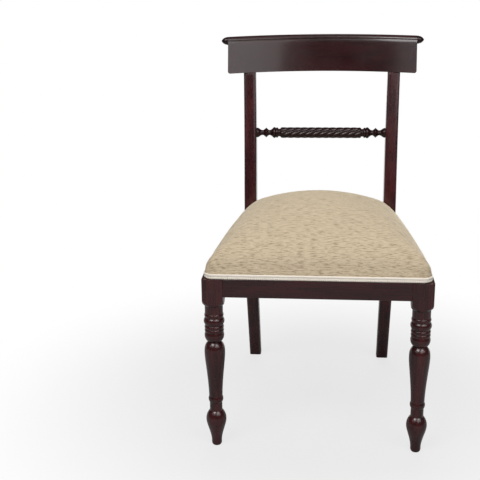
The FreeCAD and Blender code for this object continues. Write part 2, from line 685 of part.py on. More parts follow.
def rope_tenon(side, gap):
    start = V(side * (rope_axis_x() - CUT_OVERLAP), post_middle_y(ROPE_RAIL_HEIGHT), ROPE_RAIL_HEIGHT)
    length = CUT_OVERLAP + ROPE_TENON_LENGTH + gap
    return Part.makeCylinder(ROPE_TENON_RADIUS + gap, length, start, V(side, 0, 0))


def rope_rail(posts):
    """Twisted middle between two turned ends that are fitted to the slant of the posts."""
    reach = rope_axis_x()
    middle = V(0, post_middle_y(ROPE_RAIL_HEIGHT), ROPE_RAIL_HEIGHT)
    length = 2 * (reach - ROPE_END_LENGTH)
    rope = rope_twist(length)
    rope.translate(middle - V(length / 2, 0, 0))
    pieces = []
    for side in SIDES.values():
        end = rope_end_profile(Turning(-CUT_OVERLAP)).spin()
        end.rotate(V(0, 0, 0), V(0, 1, 0), -90 * side)
        end.translate(middle + V(side * reach, 0, 0))
        end = end.cut(posts[side])
        pieces += [end, rope_tenon(side, 0.0)]
    return rope.multiFuse(pieces)


def crown_angle(run, edge, roll, crown):
    """Angle at which a rolled edge passes into a crown that is level in the middle, by halving."""
    low = 0.001
    high = math.pi / 2 - 0.000001
    for _ in range(60):
        angle = (low + high) / 2
        height = edge + roll * math.sin(angle)
        height += (run - roll + roll * math.cos(angle)) * (1 - math.sin(angle)) / math.cos(angle)
        low, high = (angle, high) if height > crown else (low, angle)
    return angle


def crown_height(inward, run, edge, roll, crown):
    """Height of a crowned outline of two tangent arcs, at a distance inward from its upright edge."""
    angle = crown_angle(run, edge, roll, crown)
    if inward <= roll * (1 - math.cos(angle)):
        return edge + math.sqrt(max(roll ** 2 - (roll - inward) ** 2, 0))
    radius = (run - roll + roll * math.cos(angle)) / math.cos(angle)
    return crown - radius + math.sqrt(radius ** 2 - (run - inward) ** 2)


def pad_side(y):
    """Distance of the pad's straight side from the chair's centre plane."""
    return LEG_X + BLOCK_HALF - PAD_INSET - PAD_TAPER * (y - PAD_FRONT)


PAD_CORNER_Y = PAD_FRONT + PAD_CORNER_RADIUS
PAD_CORNER_X = pad_side(PAD_CORNER_Y) - PAD_CORNER_RADIUS * TAPER_STRETCH


def pad_half_width(y):
    """Half width of the pad's upright edge, whose front corners are arcs tangent to the front and the side."""
    behind = y - PAD_CORNER_Y
    if behind < PAD_CORNER_RADIUS * PAD_TAPER / TAPER_STRETCH:
        return PAD_CORNER_X + math.sqrt(PAD_CORNER_RADIUS ** 2 - behind ** 2)
    return pad_side(y)


def pad_solid(shrink):
    """Crowned pad, lofted from front to back through sections of lines and tangent arcs.

    shrink draws every face in, so that the filling fits the inside of the cover.
    """
    front = PAD_FRONT + shrink
    back = PAD_BACK - shrink
    crown_y = PAD_FRONT + PAD_CROWN_FROM_FRONT
    base = SEAT_RAIL_TOP + shrink
    edge = PAD_EDGE - shrink
    crown = PAD_CROWN - 2 * shrink
    turns = [math.pi / 2 * i / PAD_CORNER_STEPS for i in range(PAD_CORNER_STEPS)]
    stations = [front + PAD_CORNER_RADIUS * (1 - math.cos(turn)) for turn in turns]
    body = front + PAD_CORNER_RADIUS
    stations += [body + (back - body) * share for share in PAD_STATIONS]
    sections = []
    for y in stations:
        if y < crown_y:
            height = crown_height(y - front, crown_y - front, edge, PAD_FRONT_ROLL - shrink, crown)
        else:
            height = crown_height(back - y, back - crown_y, edge, PAD_REAR_ROLL - shrink, crown)
        height = max(height, edge + PAD_LIP)
        half = pad_half_width(max(y - shrink, PAD_FRONT)) - shrink
        fullness = (height - edge) / (crown - edge)
        roll = min((PAD_SIDE_ROLL - shrink) * fullness ** ROLL_FADE, ROLL_LIMIT * (height - edge))
        sections.append(pad_section(y, base, half, edge, roll, height))
    pad = Part.makeLoft(sections, True, False)
    gap = POST_GAP + shrink
    for side in SIDES.values():
        pad = pad.cut(block(side * (POST_INNER - gap), side * (LEG_X + BLOCK_SIDE), SEAT_FRAME_DEPTH - gap,
                            PAD_BACK + BLOCK_SIDE, base - BLOCK_SIDE, base + 2 * PAD_CROWN))
    return pad


def pad_section(y, base, half, edge, roll, height):
    """Flat base, upright edges, rolled shoulders and a crown, all tangent above the base."""
    angle = crown_angle(half, edge, roll, height)

    def rolled(a):
        return half - roll + roll * math.cos(a), edge + roll * math.sin(a)

    def at(x, z):
        return V(x, y, base + z)

    mid_x, mid_z = rolled(angle / 2)
    top_x, top_z = rolled(angle)
    return Part.Wire([line(at(-half, 0), at(half, 0)),
                      line(at(half, 0), at(half, edge)),
                      arc(at(half, edge), at(mid_x, mid_z), at(top_x, top_z)),
                      arc(at(top_x, top_z), at(0, height), at(-top_x, top_z)),
                      arc(at(-top_x, top_z), at(-mid_x, mid_z), at(-half, edge)),
                      line(at(-half, edge), at(-half, 0))])


def pad_plan(grow):
    """Plan of the pad's upright edge as a face at the top of the rails, grown outwards."""
    back = SEAT_FRAME_DEPTH
    far = pad_side(back) + grow * TAPER_STRETCH
    radius = PAD_CORNER_RADIUS + grow
    outward = V(1, PAD_TAPER, 0).normalize()
    between_sides = (outward + V(0, -1, 0)).normalize()

    def corner(side, way):
        return V(side * (PAD_CORNER_X + radius * way.x), PAD_CORNER_Y + radius * way.y, SEAT_RAIL_TOP)

    edges = []
    fronts = []
    backs = []
    for side in SIDES.values():
        front_end = corner(side, V(0, -1, 0))
        side_end = corner(side, outward)
        back_end = V(side * far, back, SEAT_RAIL_TOP)
        edges += [arc(front_end, corner(side, between_sides), side_end), line(side_end, back_end)]
        fronts.append(front_end)
        backs.append(back_end)
    edges += [line(*fronts), line(*backs)]
    return Part.Face(Part.Wire(Part.__sortEdges__(edges)))


def seat_opening():
    """Hole that the turned-under edge of the cover leaves beneath the board."""
    front = PAD_FRONT + COVER_TURN_UNDER
    back = BACK_RAIL_FRONT - COVER_TURN_UNDER / 2
    near = pad_half_width(front) - COVER_TURN_UNDER
    far = pad_half_width(back) - COVER_TURN_UNDER
    outline = [(-near, front), (near, front), (far, back), (-far, back)]
    return prism(outline, SEAT_RAIL_TOP - CUT_OVERLAP, SEAT_RAIL_TOP + COVER_THICKNESS)


def gimp_front():
    """Braid glued round the front and sides of the pad, ending against the posts."""
    rise = V(0, 0, GIMP_HEIGHT)
    braid = pad_plan(GIMP_THICKNESS).extrude(rise).cut(pad_plan(GLUE_GAP).extrude(rise))
    braid = braid.cut(block(-LEG_SPACING, LEG_SPACING, SEAT_FRAME_DEPTH - POST_GAP, PAD_BACK, 0, POST_TOP))
    braid.translate(V(0, 0, GIMP_LIFT))
    return braid


def gimp_back():
    half = POST_INNER - POST_GAP
    low = SEAT_RAIL_TOP + GIMP_LIFT
    return block(-half, half, PAD_BACK + GLUE_GAP, PAD_BACK + GIMP_THICKNESS, low, low + GIMP_HEIGHT)


def corner_block_outline(front):
    """Plan of a right-hand corner block, clear of the leg or post in its corner."""
    if front:
        inner_x = LEG_X - BLOCK_HALF - CORNER_BLOCK_GAP
        leg_y = BLOCK_HALF + CORNER_BLOCK_GAP
        rail_y = FRONT_RAIL_BACK
        far_y = BLOCK_HALF + CORNER_BLOCK_LENGTH
    else:
        inner_x = POST_INNER - CORNER_BLOCK_GAP
        leg_y = SEAT_FRAME_DEPTH - CORNER_BLOCK_GAP
        rail_y = BACK_RAIL_FRONT
        far_y = SEAT_FRAME_DEPTH - CORNER_BLOCK_LENGTH
    return [(inner_x - CORNER_BLOCK_LENGTH, rail_y), (inner_x, rail_y), (inner_x, leg_y),
            (side_rail_inner(leg_y), leg_y), (side_rail_inner(far_y), far_y)]


def corner_block_body(side, front):
    top = SEAT_RAIL_TOP - CORNER_BLOCK_DROP
    return prism(mirrored(corner_block_outline(front), side), top - CORNER_BLOCK_HEIGHT, top)


def brace_screw_seats(side, front):
    """Points on the two rails where the brace screws enter them, each with its way into the rail."""
    start, _, _, leg_end, far_end = corner_block_outline(front)
    z = SEAT_RAIL_TOP - CORNER_BLOCK_DROP - CORNER_BLOCK_HEIGHT / 2
    across = V(0, -1 if front else 1, 0)
    outward = V(side, -SIDE_SKEW, 0).normalize()
    y = (leg_end[1] + far_end[1]) / 2
    on_cross_rail = V(side * (start[0] + BRACE_SCREW_INSET), start[1], z)
    on_side_rail = V(side * side_rail_inner(y), y, z)
    return [(on_cross_rail, across), (on_side_rail, outward)]


def seat_screw_point(side, front):
    """Middle of the narrowest part of a corner block, at its lower face."""
    start, _, notch, _, far_end = corner_block_outline(front)
    a = V(start[0], start[1], 0)
    b = V(far_end[0], far_end[1], 0)
    n = V(notch[0], notch[1], 0)
    along = (b - a).normalize()
    foot = a + along * (n - a).dot(along)
    middle = (n + foot) * 0.5
    return V(side * middle.x, middle.y, SEAT_RAIL_TOP - CORNER_BLOCK_DROP - CORNER_BLOCK_HEIGHT)


def screw(length):
    """Round-headed wood screw: head below Z = 0, pointed shank above."""
    body = Turning(-SCREW_HEAD_HEIGHT)
    body.straight(SCREW_HEAD_FLAT, -SCREW_HEAD_HEIGHT)
    body.bead(SCREW_HEAD_RADIUS, 0.0, SCREW_HEAD_BULGE)
    body.straight(SCREW_RADIUS, 0.0)
    body.straight(SCREW_RADIUS, length - 2 * SCREW_RADIUS)
    body.straight(SCREW_TIP_RADIUS, length)
    return body.spin()


def placed(shape, point, direction):
    """Copy of a shape drawn along Z, moved to a point and turned to a direction."""
    copy = shape.copy()
    copy.Placement = FreeCAD.Placement(point, FreeCAD.Rotation(UP, direction))
    return copy


def brace_screws():
    length = BRACE_SCREW_GRIP + BRACE_SCREW_BITE
    return [placed(screw(length), point - way * BRACE_SCREW_GRIP, way)
            for side in SIDES.values() for front in (True, False)
            for point, way in brace_screw_seats(side, front)]


def seat_screws():
    length = CORNER_BLOCK_HEIGHT + CORNER_BLOCK_DROP + COVER_THICKNESS + SEAT_SCREW_BITE
    return [placed(screw(length), seat_screw_point(side, front), UP)
            for side in SIDES.values() for front in (True, False)]


def corner_block(side, front):
    """Brace with clearance holes, and pockets that let the screw heads in square to the rails."""
    body = corner_block_body(side, front)
    hole = SCREW_RADIUS + SCREW_CLEARANCE
    for point, way in brace_screw_seats(side, front):
        pocket = Part.makeCylinder(SCREW_HEAD_RADIUS + SCREW_CLEARANCE, CORNER_BLOCK_LENGTH,
                                   point - way * BRACE_SCREW_GRIP, way * -1)
        body = body.cut(pocket).cut(Part.makeCylinder(hole, CORNER_BLOCK_LENGTH, point, way * -1))
    point = seat_screw_point(side, front)
    return body.cut(Part.makeCylinder(hole, 2 * CORNER_BLOCK_HEIGHT, point, UP))


def dust_cover_outline():
    front = FRONT_RAIL_BACK + DUST_COVER_GAP
    back = BACK_RAIL_FRONT - DUST_COVER_GAP
    near = side_rail_inner(front) - DUST_COVER_GAP
    far = side_rail_inner(back) - DUST_COVER_GAP
    return [(-near, front), (near, front), (far, back), (-far, back)]


def dust_cover():
    """Thin cloth under the seat, cut round the legs and posts."""
    low = SEAT_RAIL_TOP - DUST_COVER_THICKNESS
    cloth = prism(dust_cover_outline(), low, SEAT_RAIL_TOP)
    gap = DUST_COVER_GAP
    for side in SIDES.values():
        cloth = cloth.cut(block(side * (LEG_X - BLOCK_HALF - gap), side * (LEG_X + BLOCK_HALF),
                                FRAME_FRONT, BLOCK_HALF + gap, low, SEAT_RAIL_TOP))
        cloth = cloth.cut(block(side * (POST_INNER - gap), side * (POST_OUTER + gap),
                                SEAT_FRAME_DEPTH - gap, PAD_BACK, low, SEAT_RAIL_TOP))
    for side in SIDES.values():
        for front in (True, False):
            point = seat_screw_point(side, front)
            hole = Part.makeCylinder(SCREW_RADIUS + SCREW_CLEARANCE, 2 * CORNER_BLOCK_HEIGHT, point, UP)
            cloth = cloth.cut(hole)
    return cloth


def staple(point, along):
    """Flat crown under the cloth and two legs up into the board."""
    shape = block(-STAPLE_CROWN / 2, STAPLE_CROWN / 2, -STAPLE_WIDTH / 2, STAPLE_WIDTH / 2, -STAPLE_WIRE, 0)
    for s in SIDES.values():
        outer = s * STAPLE_CROWN / 2
        inner = outer - s * STAPLE_WIRE
        shape = shape.fuse(block(inner, outer, -STAPLE_WIDTH / 2, STAPLE_WIDTH / 2, 0, STAPLE_LEG))
    shape = shape.removeSplitter()
    shape.Placement = FreeCAD.Placement(point, FreeCAD.Rotation(V(1, 0, 0), along))
    return shape


def staples():
    """Staples along the four edges of the dust cover, as many as the pitch gives."""
    corners = dust_cover_outline()
    z = SEAT_RAIL_TOP - DUST_COVER_THICKNESS
    clear = CORNER_BLOCK_LENGTH + BLOCK_SIDE
    found = []
    for (x0, y0), (x1, y1) in zip(corners, corners[1:] + corners[:1]):
        start = V(x0, y0, z)
        along = V(x1, y1, z) - start
        run = along.Length - 2 * clear
        along.normalize()
        inward = UP.cross(along)
        count = max(2, 1 + round(run / STAPLE_PITCH))
        for i in range(count):
            point = start + along * (clear + run * i / (count - 1)) + inward * STAPLE_MARGIN
            found.append(staple(point, along))
    return found


def build():
    """All pieces by name, with every mortise and pilot hole cut to what goes into it."""
    posts = {side: post_body(side) for side in SIDES.values()}
    braces = brace_screws()
    fixings = seat_screws()
    stitches = staples()
    pad = pad_solid(0.0)
    inside = pad_solid(COVER_THICKNESS)
    board_top = SEAT_RAIL_TOP + COVER_THICKNESS + BOARD_THICKNESS
    slab = block(-LEG_SPACING, LEG_SPACING, -LEG_SPACING, 2 * LEG_SPACING,
                 SEAT_RAIL_TOP - CUT_OVERLAP, board_top)
    cover = pad.cut(inside).cut(seat_opening())
    pieces = {}
    for name, side in SIDES.items():
        leg = front_leg(side)
        for mortise in front_tenons(GLUE_GAP) + side_tenons(side, GLUE_GAP)[:1]:
            leg = leg.cut(mortise)
        pieces["front_leg_" + name] = leg
        post = posts[side].fuse(crest_tenon(side, 0.0))
        mortises = back_tenons(GLUE_GAP) + side_tenons(side, GLUE_GAP)[1:] + [rope_tenon(side, GLUE_GAP)]
        for mortise in mortises:
            post = post.cut(mortise)
        pieces["back_post_" + name] = post
        pieces[name + "_seat_rail"] = side_rail(side).cut(braces)
        pieces["crest_finial_" + name] = finial(side)
        pieces["corner_block_front_" + name] = corner_block(side, True)
        pieces["corner_block_back_" + name] = corner_block(side, False)
    pieces["front_seat_rail"] = front_rail().cut(braces)
    pieces["back_seat_rail"] = back_rail().cut(braces)
    pieces["crest_rail"] = crest_rail()
    pieces["rope_rail"] = rope_rail(posts)
    pieces["corner_block_screws"] = Part.makeCompound(braces)
    pieces["seat_screws"] = Part.makeCompound(fixings)
    pieces["seat_board"] = inside.common(slab).cut(fixings + stitches)
    pieces["seat_foam"] = inside.cut(slab)
    pieces["seat_cover"] = cover.cut(fixings + stitches)
    pieces["seat_gimp_front"] = gimp_front()
    pieces["seat_gimp_back"] = gimp_back()
    pieces["dust_cover"] = dust_cover().cut(stitches)
    pieces["dust_cover_staples"] = Part.makeCompound(stitches)
    return pieces


os.makedirs("parts", exist_ok=True)
for node, shape in build().items():
    shape.translate(V(0, -CENTRE_Y, 0))
    shape.exportStep("parts/" + node + ".step")
    size = shape.BoundBox
    print(node, len(shape.Solids), shape.isValid(), round(shape.Volume / 1000, 2), "cm3",
          [round(v, 1) for v in (size.XMin, size.XMax, size.YMin, size.YMax, size.ZMin, size.ZMax)])
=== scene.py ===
import math

import bpy
import numpy as np
from mathutils import Matrix, Vector


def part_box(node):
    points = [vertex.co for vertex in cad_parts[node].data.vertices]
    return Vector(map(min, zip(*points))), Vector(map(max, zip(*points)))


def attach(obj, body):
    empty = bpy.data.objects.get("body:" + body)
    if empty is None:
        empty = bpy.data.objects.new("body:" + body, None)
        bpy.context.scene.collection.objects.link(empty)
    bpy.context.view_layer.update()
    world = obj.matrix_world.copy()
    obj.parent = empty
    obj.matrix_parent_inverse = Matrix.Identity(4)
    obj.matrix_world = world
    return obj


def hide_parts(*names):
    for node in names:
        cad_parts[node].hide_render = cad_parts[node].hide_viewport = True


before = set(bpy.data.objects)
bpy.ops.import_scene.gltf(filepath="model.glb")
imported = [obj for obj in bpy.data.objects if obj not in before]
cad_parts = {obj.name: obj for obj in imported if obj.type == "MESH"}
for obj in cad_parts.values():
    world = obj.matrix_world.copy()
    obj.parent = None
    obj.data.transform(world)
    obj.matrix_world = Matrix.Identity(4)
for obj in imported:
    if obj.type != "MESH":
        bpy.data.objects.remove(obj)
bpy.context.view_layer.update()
scene = bpy.context.scene


# Front legs: each is turned from one square of mahogany, with a bulb foot, an ankle ring, a vase
# and a stack of beads under the block that takes the seat rails. They are stained dark red-brown,
# rubbed back a little on the high spots and lacquered to a satin gloss.

def paint(red, green, blue):
    """Colour of 0 to 255 steps as linear light: the power 2.4 of the step, above a straight part in
    the darks."""
    steps = np.array([red, green, blue]) / 255
    return (*np.where(steps > 0.04045, ((steps + 0.055) / 1.055) ** 2.4, steps / 12.92), 1.0)


def add(tree, kind, inputs=None, **settings):
    """Shader node with its settings; an input is given a value or the socket that feeds it."""
    made = tree.nodes.new("ShaderNode" + kind)
    for name, value in settings.items():
        setattr(made, name, value)
    for name, value in (inputs or {}).items():
        if isinstance(value, bpy.types.NodeSocket):
            tree.links.new(value, made.inputs[name])
        else:
            made.inputs[name].default_value = value
    return made


def mixed(tree, factor, first, second, blend="MIX"):
    """Socket of two colours mixed by a factor."""
    colours = {0: factor, 6: first, 7: second}
    return add(tree, "Mix", colours, data_type="RGBA", blend_type=blend).outputs[2]


def sums(tree, operation, first, second=0.0, third=0.0):
    """Socket of a sum of one to three values."""
    return add(tree, "Math", {0: first, 1: second, 2: third}, operation=operation).outputs[0]


def times(tree, first, second):
    """Socket of two values multiplied."""
    return sums(tree, "MULTIPLY", first, second)


def shaded(tree, colour, value):
    """Socket of a colour multiplied by a value."""
    shade = add(tree, "CombineColor", {0: value, 1: value, 2: value}).outputs[0]
    return mixed(tree, 1.0, colour, shade, "MULTIPLY")


def spread(tree, value, low, high, to_low=0.0, to_high=1.0):
    """Socket of a value whose range from low to high is spread smoothly over a new range."""
    ranges = {"Value": value, "From Min": low, "From Max": high,
              "To Min": to_low, "To Max": to_high}
    return add(tree, "MapRange", ranges, interpolation_type="SMOOTHSTEP").outputs["Result"]


def piece_place(tree):
    """Socket of the place on a piece, in metres."""
    return add(tree, "TexCoord").outputs["Object"]


def streaks(tree, place, stretch, detail, roughness=0.55):
    """Socket of a noise of about 0 to 1 whose grains are one over the stretch long, in metres."""
    along = add(tree, "VectorMath", {0: place, 1: stretch}, operation="MULTIPLY").outputs[0]
    noise = {"Vector": along, "Scale": 1.0, "Detail": detail, "Roughness": roughness}
    return add(tree, "TexNoise", noise).outputs["Fac"]


def bumped(tree, height, distance, strength=1.0, **under):
    """Socket of the normal that a height tilts, where a height of 1 is the distance in metres;
    under may give the Normal that it starts from."""
    relief = {"Height": height, "Distance": distance, "Strength": strength, **under}
    return add(tree, "Bump", relief).outputs["Normal"]


def node_group(name, inputs, outputs):
    """Shader node group with named sockets, and its input and output nodes' sockets."""
    tree = bpy.data.node_groups.new(name, "ShaderNodeTree")
    for label, kind, value in inputs:
        socket = tree.interface.new_socket(label, in_out="INPUT", socket_type="NodeSocket" + kind)
        if value is not None:
            socket.default_value = value
    for label, kind in outputs:
        tree.interface.new_socket(label, in_out="OUTPUT", socket_type="NodeSocket" + kind)
    given = tree.nodes.new("NodeGroupInput").outputs
    return tree, given, tree.nodes.new("NodeGroupOutput").inputs


BLACK = (0, 0, 0, 1)
WHITE = (1, 1, 1, 1)


def wood_figure_group():
    """Timber whose grain runs along X, on a place that sways sideways with a slow noise: broad
    ribbons and fine streaks are added by their shares, and short open pores are sunk into them."""
    tree, given, out = node_group("wood_figure", [
        ("Place", "Vector", None), ("Dark", "Color", BLACK), ("Light", "Color", WHITE),
        ("Pore Depth", "Float", 0.5)], [("Color", "Color"), ("Height", "Float")])
    sway_reach = (0.0, 0.02, 0.02)
    ribbon_share = 0.55
    streak_share = 0.45
    streak_relief = 0.25
    slow = streaks(tree, given["Place"], (3, 9, 9), detail=2)
    sway = add(tree, "VectorMath", {0: slow, 1: sway_reach}, operation="MULTIPLY").outputs[0]
    place = add(tree, "VectorMath", {0: given["Place"], 1: sway}, operation="ADD").outputs[0]
    ribbon = streaks(tree, place, (4, 48, 48), detail=3)
    fine = streaks(tree, place, (11, 420, 420), detail=4)
    pores = spread(tree, streaks(tree, place, (70, 1500, 1500), detail=2), 0.56, 0.70)
    figure = sums(tree, "MULTIPLY_ADD", fine, streak_share, times(tree, ribbon, ribbon_share))
    colour = mixed(tree, spread(tree, figure, 0.34, 0.66), given["Dark"], given["Light"])
    sunk = times(tree, pores, given["Pore Depth"])
    tree.links.new(mixed(tree, sunk, colour, given["Dark"]), out["Color"])
    tree.links.new(sums(tree, "SUBTRACT", times(tree, fine, streak_relief), sunk), out["Height"])
    return tree


def rubbed_lacquer_and_shade_group():
    """Finish that years of use rub thin on edges, where a rounded normal leaves the flat one, with
    uneven polish; painted shade darkens the colour in hollows by their ambient occlusion."""
    tree, given, out = node_group("rubbed_lacquer_and_shade", [
        ("Place", "Vector", None), ("Color", "Color", BLACK), ("Rubbed", "Color", WHITE),
        ("Amount", "Float", 0.5)], [("Color", "Color"), ("Roughness", "Float")])
    edge_width = 0.002
    hollow_reach = 0.012
    hollow_shade = 0.45
    glossiest = 0.15
    dullest = 0.25
    rounded = add(tree, "Bevel", {"Radius": edge_width}, samples=4).outputs["Normal"]
    flat = add(tree, "NewGeometry").outputs["Normal"]
    turn = add(tree, "VectorMath", {0: rounded, 1: flat}, operation="DOT_PRODUCT").outputs["Value"]
    patches = spread(tree, streaks(tree, given["Place"], (30, 30, 30), detail=3), 0.35, 0.7)
    edge = times(tree, spread(tree, turn, 0.98, 0.80), patches)
    rubbed = mixed(tree, times(tree, edge, given["Amount"]), given["Color"], given["Rubbed"])
    # Painted shade: ambient occlusion darkens the colour in hollows and quirks, down to the hollow
    # shade.
    openness = add(tree, "AmbientOcclusion", {"Distance": hollow_reach}, samples=4).outputs["AO"]
    dark = spread(tree, openness, 0.25, 0.85, hollow_shade, 1.0)
    tree.links.new(shaded(tree, rubbed, dark), out["Color"])
    smear = streaks(tree, given["Place"], (14, 14, 14), detail=3)
    tree.links.new(spread(tree, smear, 0.2, 0.8, glossiest, dullest), out["Roughness"])
    return tree


wood_figure = wood_figure_group()
rubbed_lacquer_and_shade = rubbed_lacquer_and_shade_group()


def place_group(tree, group, inputs):
    """Output sockets of a node group placed in a material with its own values."""
    return add(tree, "Group", inputs, node_tree=group).outputs


def new_material(name, **constants):
    """Material with a Principled shader whose constant sockets are set, its tree, and the shader's
    input sockets."""
    material = bpy.data.materials.new(name)
    material.use_nodes = True
    shader = material.node_tree.nodes["Principled BSDF"]
    for socket, value in constants.items():
        shader.inputs[socket.replace("_", " ")].default_value = value
    return material, material.node_tree, shader.inputs


def mahogany(name, turn, shift, dark, light, rounding, coat=0.40):
    """Dark lacquered mahogany: turn brings the grain's way onto X, shift moves to another part of
    the log, edges are sanded round by the rounding, and coat is how full the lacquer stands."""
    material, tree, shader = new_material(name, Specular_IOR_Level=0.35, Coat_Weight=coat,
                                          Coat_Roughness=0.10)
    grain_depth = 0.00005
    place = add(tree, "Mapping", {"Vector": piece_place(tree), "Rotation": turn,
                                  "Location": shift}).outputs[0]
    figure = place_group(tree, wood_figure, {"Place": place, "Dark": dark, "Light": light,
                                             "Pore Depth": 0.6})
    # The finish rubs the edges and also paints shade into the wood's hollows.
    finish = place_group(tree, rubbed_lacquer_and_shade, {"Place": place, "Color": figure["Color"],
                                              "Rubbed": paint(104, 58, 46), "Amount": 0.5})
    tree.links.new(finish["Color"], shader["Base Color"])
    tree.links.new(finish["Roughness"], shader["Roughness"])
    sanded = add(tree, "Bevel", {"Radius": rounding}, samples=6).outputs["Normal"]
    tree.links.new(bumped(tree, figure["Height"], grain_depth, Normal=sanded), shader["Normal"])
    return material


QUARTER = math.pi / 2
upright_grain = (0, QUARTER, 0)
turned_mahogany = mahogany("mahogany_turned", upright_grain, shift=(0.3, 0.1, 0.2),
                           dark=paint(36, 11, 12), light=paint(72, 28, 29), rounding=0.002)


def dress(material, *names):
    """Gives CAD nodes their finish."""
    for name in names:
        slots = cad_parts[name].data.materials
        slots.clear()
        slots.append(material)


dress(turned_mahogany, "front_leg_left", "front_leg_right")


# Back posts: one length of mahogany each, sawn to a sabre curve below the seat and a rake above it,
# with the front corners rounded over. Seat rails and rope rail are tenoned into them, and the crest
# sits on tenons at their tops.
post_mahogany = mahogany("mahogany_posts", upright_grain, shift=(0.6, 0.3, 0.4),
                         dark=paint(42, 13, 16), light=paint(76, 31, 33), rounding=0.009)
dress(post_mahogany, "back_post_left", "back_post_right")


# Seat rails: four straight mahogany boards tenoned between the legs and posts, with eased edges.
# The grain runs along each board.
across_grain = (0, 0, 0)
depth_grain = (0, 0, QUARTER)
rail_finish = {"dark": paint(32, 10, 13), "light": paint(58, 21, 23), "rounding": 0.0025}
across_mahogany = mahogany("mahogany_across", across_grain, shift=(0.7, 0.4, 0.1), **rail_finish)
depth_mahogany = mahogany("mahogany_depth", depth_grain, shift=(0.2, 0.9, 0.5), **rail_finish)
dress(across_mahogany, "front_seat_rail", "back_seat_rail")
dress(depth_mahogany, "left_seat_rail", "right_seat_rail")


# Rope rail: a mahogany spindle between the posts, turned to bells, diamonds and rings at both ends,
# and carved by hand in the middle into eight strands that twist like a rope.

def mesh_piece(name, points, faces, smooth=True):
    """Object at the origin from an array of points and a list of face index rows."""
    mesh = bpy.data.meshes.new(name)
    mesh.from_pydata(points, [], faces)
    mesh.polygons.foreach_set("use_smooth", np.full(len(mesh.polygons), smooth))
    mesh.update()
    made = bpy.data.objects.new(name, mesh)
    scene.collection.objects.link(made)
    return made


def grid_faces(rows, columns, wrap=False):
    """Quads of a grid of points counted row by row; wrap joins the last column to the first."""
    row, column = np.mgrid[0:rows - 1, 0:columns if wrap else columns - 1]
    here = (row * columns + column).ravel()
    beside = (row * columns + (column + 1) % columns).ravel()
    return np.stack([here, beside, beside + columns, here + columns], axis=1).tolist()


def joined(points, faces, places=7):
    """Points that coincide to so many places, at a pole or a repeated station, made one; a face
    drops its repeats, or goes if fewer than three corners are left."""
    _, first, same = np.unique(np.round(points, places), axis=0, return_index=True,
                               return_inverse=True)
    corners = [list(dict.fromkeys(row)) for row in same.ravel()[np.array(faces)].tolist()]
    return points[first], [row for row in corners if len(row) > 2]


def bead(start, end, rise, count=9):
    """Stations of a bead from one (distance, radius) to another: a straight line plus a
    parabola."""
    t = np.linspace(0, 1, count)[:, None]
    return np.array(start) * (1 - t) + np.array(end) * t + np.array([0, 4 * rise]) * t * (1 - t)


def flowing(stations, count=16):
    """Cubic through four stations, by their distance along the chain."""
    stations = np.array(stations)
    run = np.concatenate([[0], np.cumsum(np.linalg.norm(np.diff(stations, axis=0), axis=1))])
    t = np.linspace(0, run[-1], count)
    return np.stack([np.polyval(np.polyfit(run, stations[:, k], 3), t) for k in (0, 1)], axis=1)


rope_low, rope_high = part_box("rope_rail")
rope_tenon_length = 0.016
rope_tenon_radius = 0.0055
rope_reach = rope_high.x - rope_tenon_length
rope_end_length = 0.059
rope_axis = Vector((0, (rope_low.y + rope_high.y) / 2, (rope_low.z + rope_high.z) / 2))
rope_radius = 0.0133
rope_groove = 0.0021
rope_strands = 8
rope_lead = 0.140
rope_core_radius = 0.0096
rope_end_rounding = 0.005
rope_crease = math.radians(80)
bell_let_in = 0.002
bell_land = 0.0025
bell_radius = 0.012
waist_radius = 0.0063
diamond_edge_radius = 0.0115
diamond_radius = 0.0122
neck_hollow = 0.0009
large_ring_foot = 0.0119
large_ring_radius = 0.0137
small_ring_foot = 0.0112
small_ring_radius = 0.0128


def spindle_end():
    """Stations (distance from the post, radius) of a turned end, from its tenon to the twist: a
    bell on a cubic, a diamond with a blunt edge, a hollow neck and two rings on parabolas."""
    return np.concatenate([
        [(-rope_tenon_length, 0), (-rope_tenon_length, rope_tenon_radius),
         (-bell_let_in, rope_tenon_radius), (-bell_let_in, bell_radius), (bell_land, bell_radius)],
        flowing([(bell_land, bell_radius), (0.0063, 0.0104), (0.0105, 0.0074),
                 (0.015, waist_radius)]),
        [(0.017, waist_radius), (0.0232, diamond_edge_radius)],
        bead((0.0232, diamond_edge_radius), (0.0248, diamond_edge_radius),
             diamond_radius - diamond_edge_radius, 5),
        [(0.031, waist_radius), (0.033, waist_radius)],
        bead((0.033, waist_radius), (0.041, large_ring_foot), -neck_hollow),
        bead((0.041, large_ring_foot), (0.048, large_ring_foot),
             large_ring_radius - large_ring_foot),
        bead((0.048, small_ring_foot), (0.054, small_ring_foot),
             small_ring_radius - small_ring_foot),
        [(0.054, rope_core_radius), (rope_end_length, rope_core_radius)]])


def rope_rail_surface(around=96, along=260):
    """Radius over distance and angle: turned ends alike all round, and between them a rope whose
    radius dips by the groove's depth between strands, |sin(half the strands times the turned
    angle)|, while the turn grows evenly with distance; a quarter circle rounds the strands off at
    both ends."""
    angle = np.linspace(0, 2 * math.pi, around, endpoint=False)
    half_rope = rope_reach - rope_end_length
    x = half_rope * np.sin(np.linspace(-QUARTER, QUARTER, along))
    depth = np.clip((half_rope - np.abs(x)) / rope_end_rounding, 0, 1)
    swell = np.sqrt(1 - (1 - depth) ** 2)[:, None]
    turned = angle[None, :] + 2 * math.pi * x[:, None] / rope_lead
    strand = np.abs(np.sin(rope_strands / 2 * turned))
    lobe = rope_radius - rope_groove * (1 - strand)
    rope = rope_core_radius + (lobe - rope_core_radius) * swell
    end = spindle_end()
    turned_end = np.repeat(end[:, 1:2], around, axis=1)
    distance = np.concatenate([end[:, 0] - rope_reach, x, rope_reach - end[::-1, 0]])
    radius = np.concatenate([turned_end, rope, turned_end[::-1]])
    points = np.stack([np.repeat(distance[:, None], around, axis=1),
                       rope_axis.y + radius * np.cos(angle),
                       rope_axis.z + radius * np.sin(angle)], axis=-1)
    return points.reshape(-1, 3), grid_faces(len(distance), around, wrap=True)


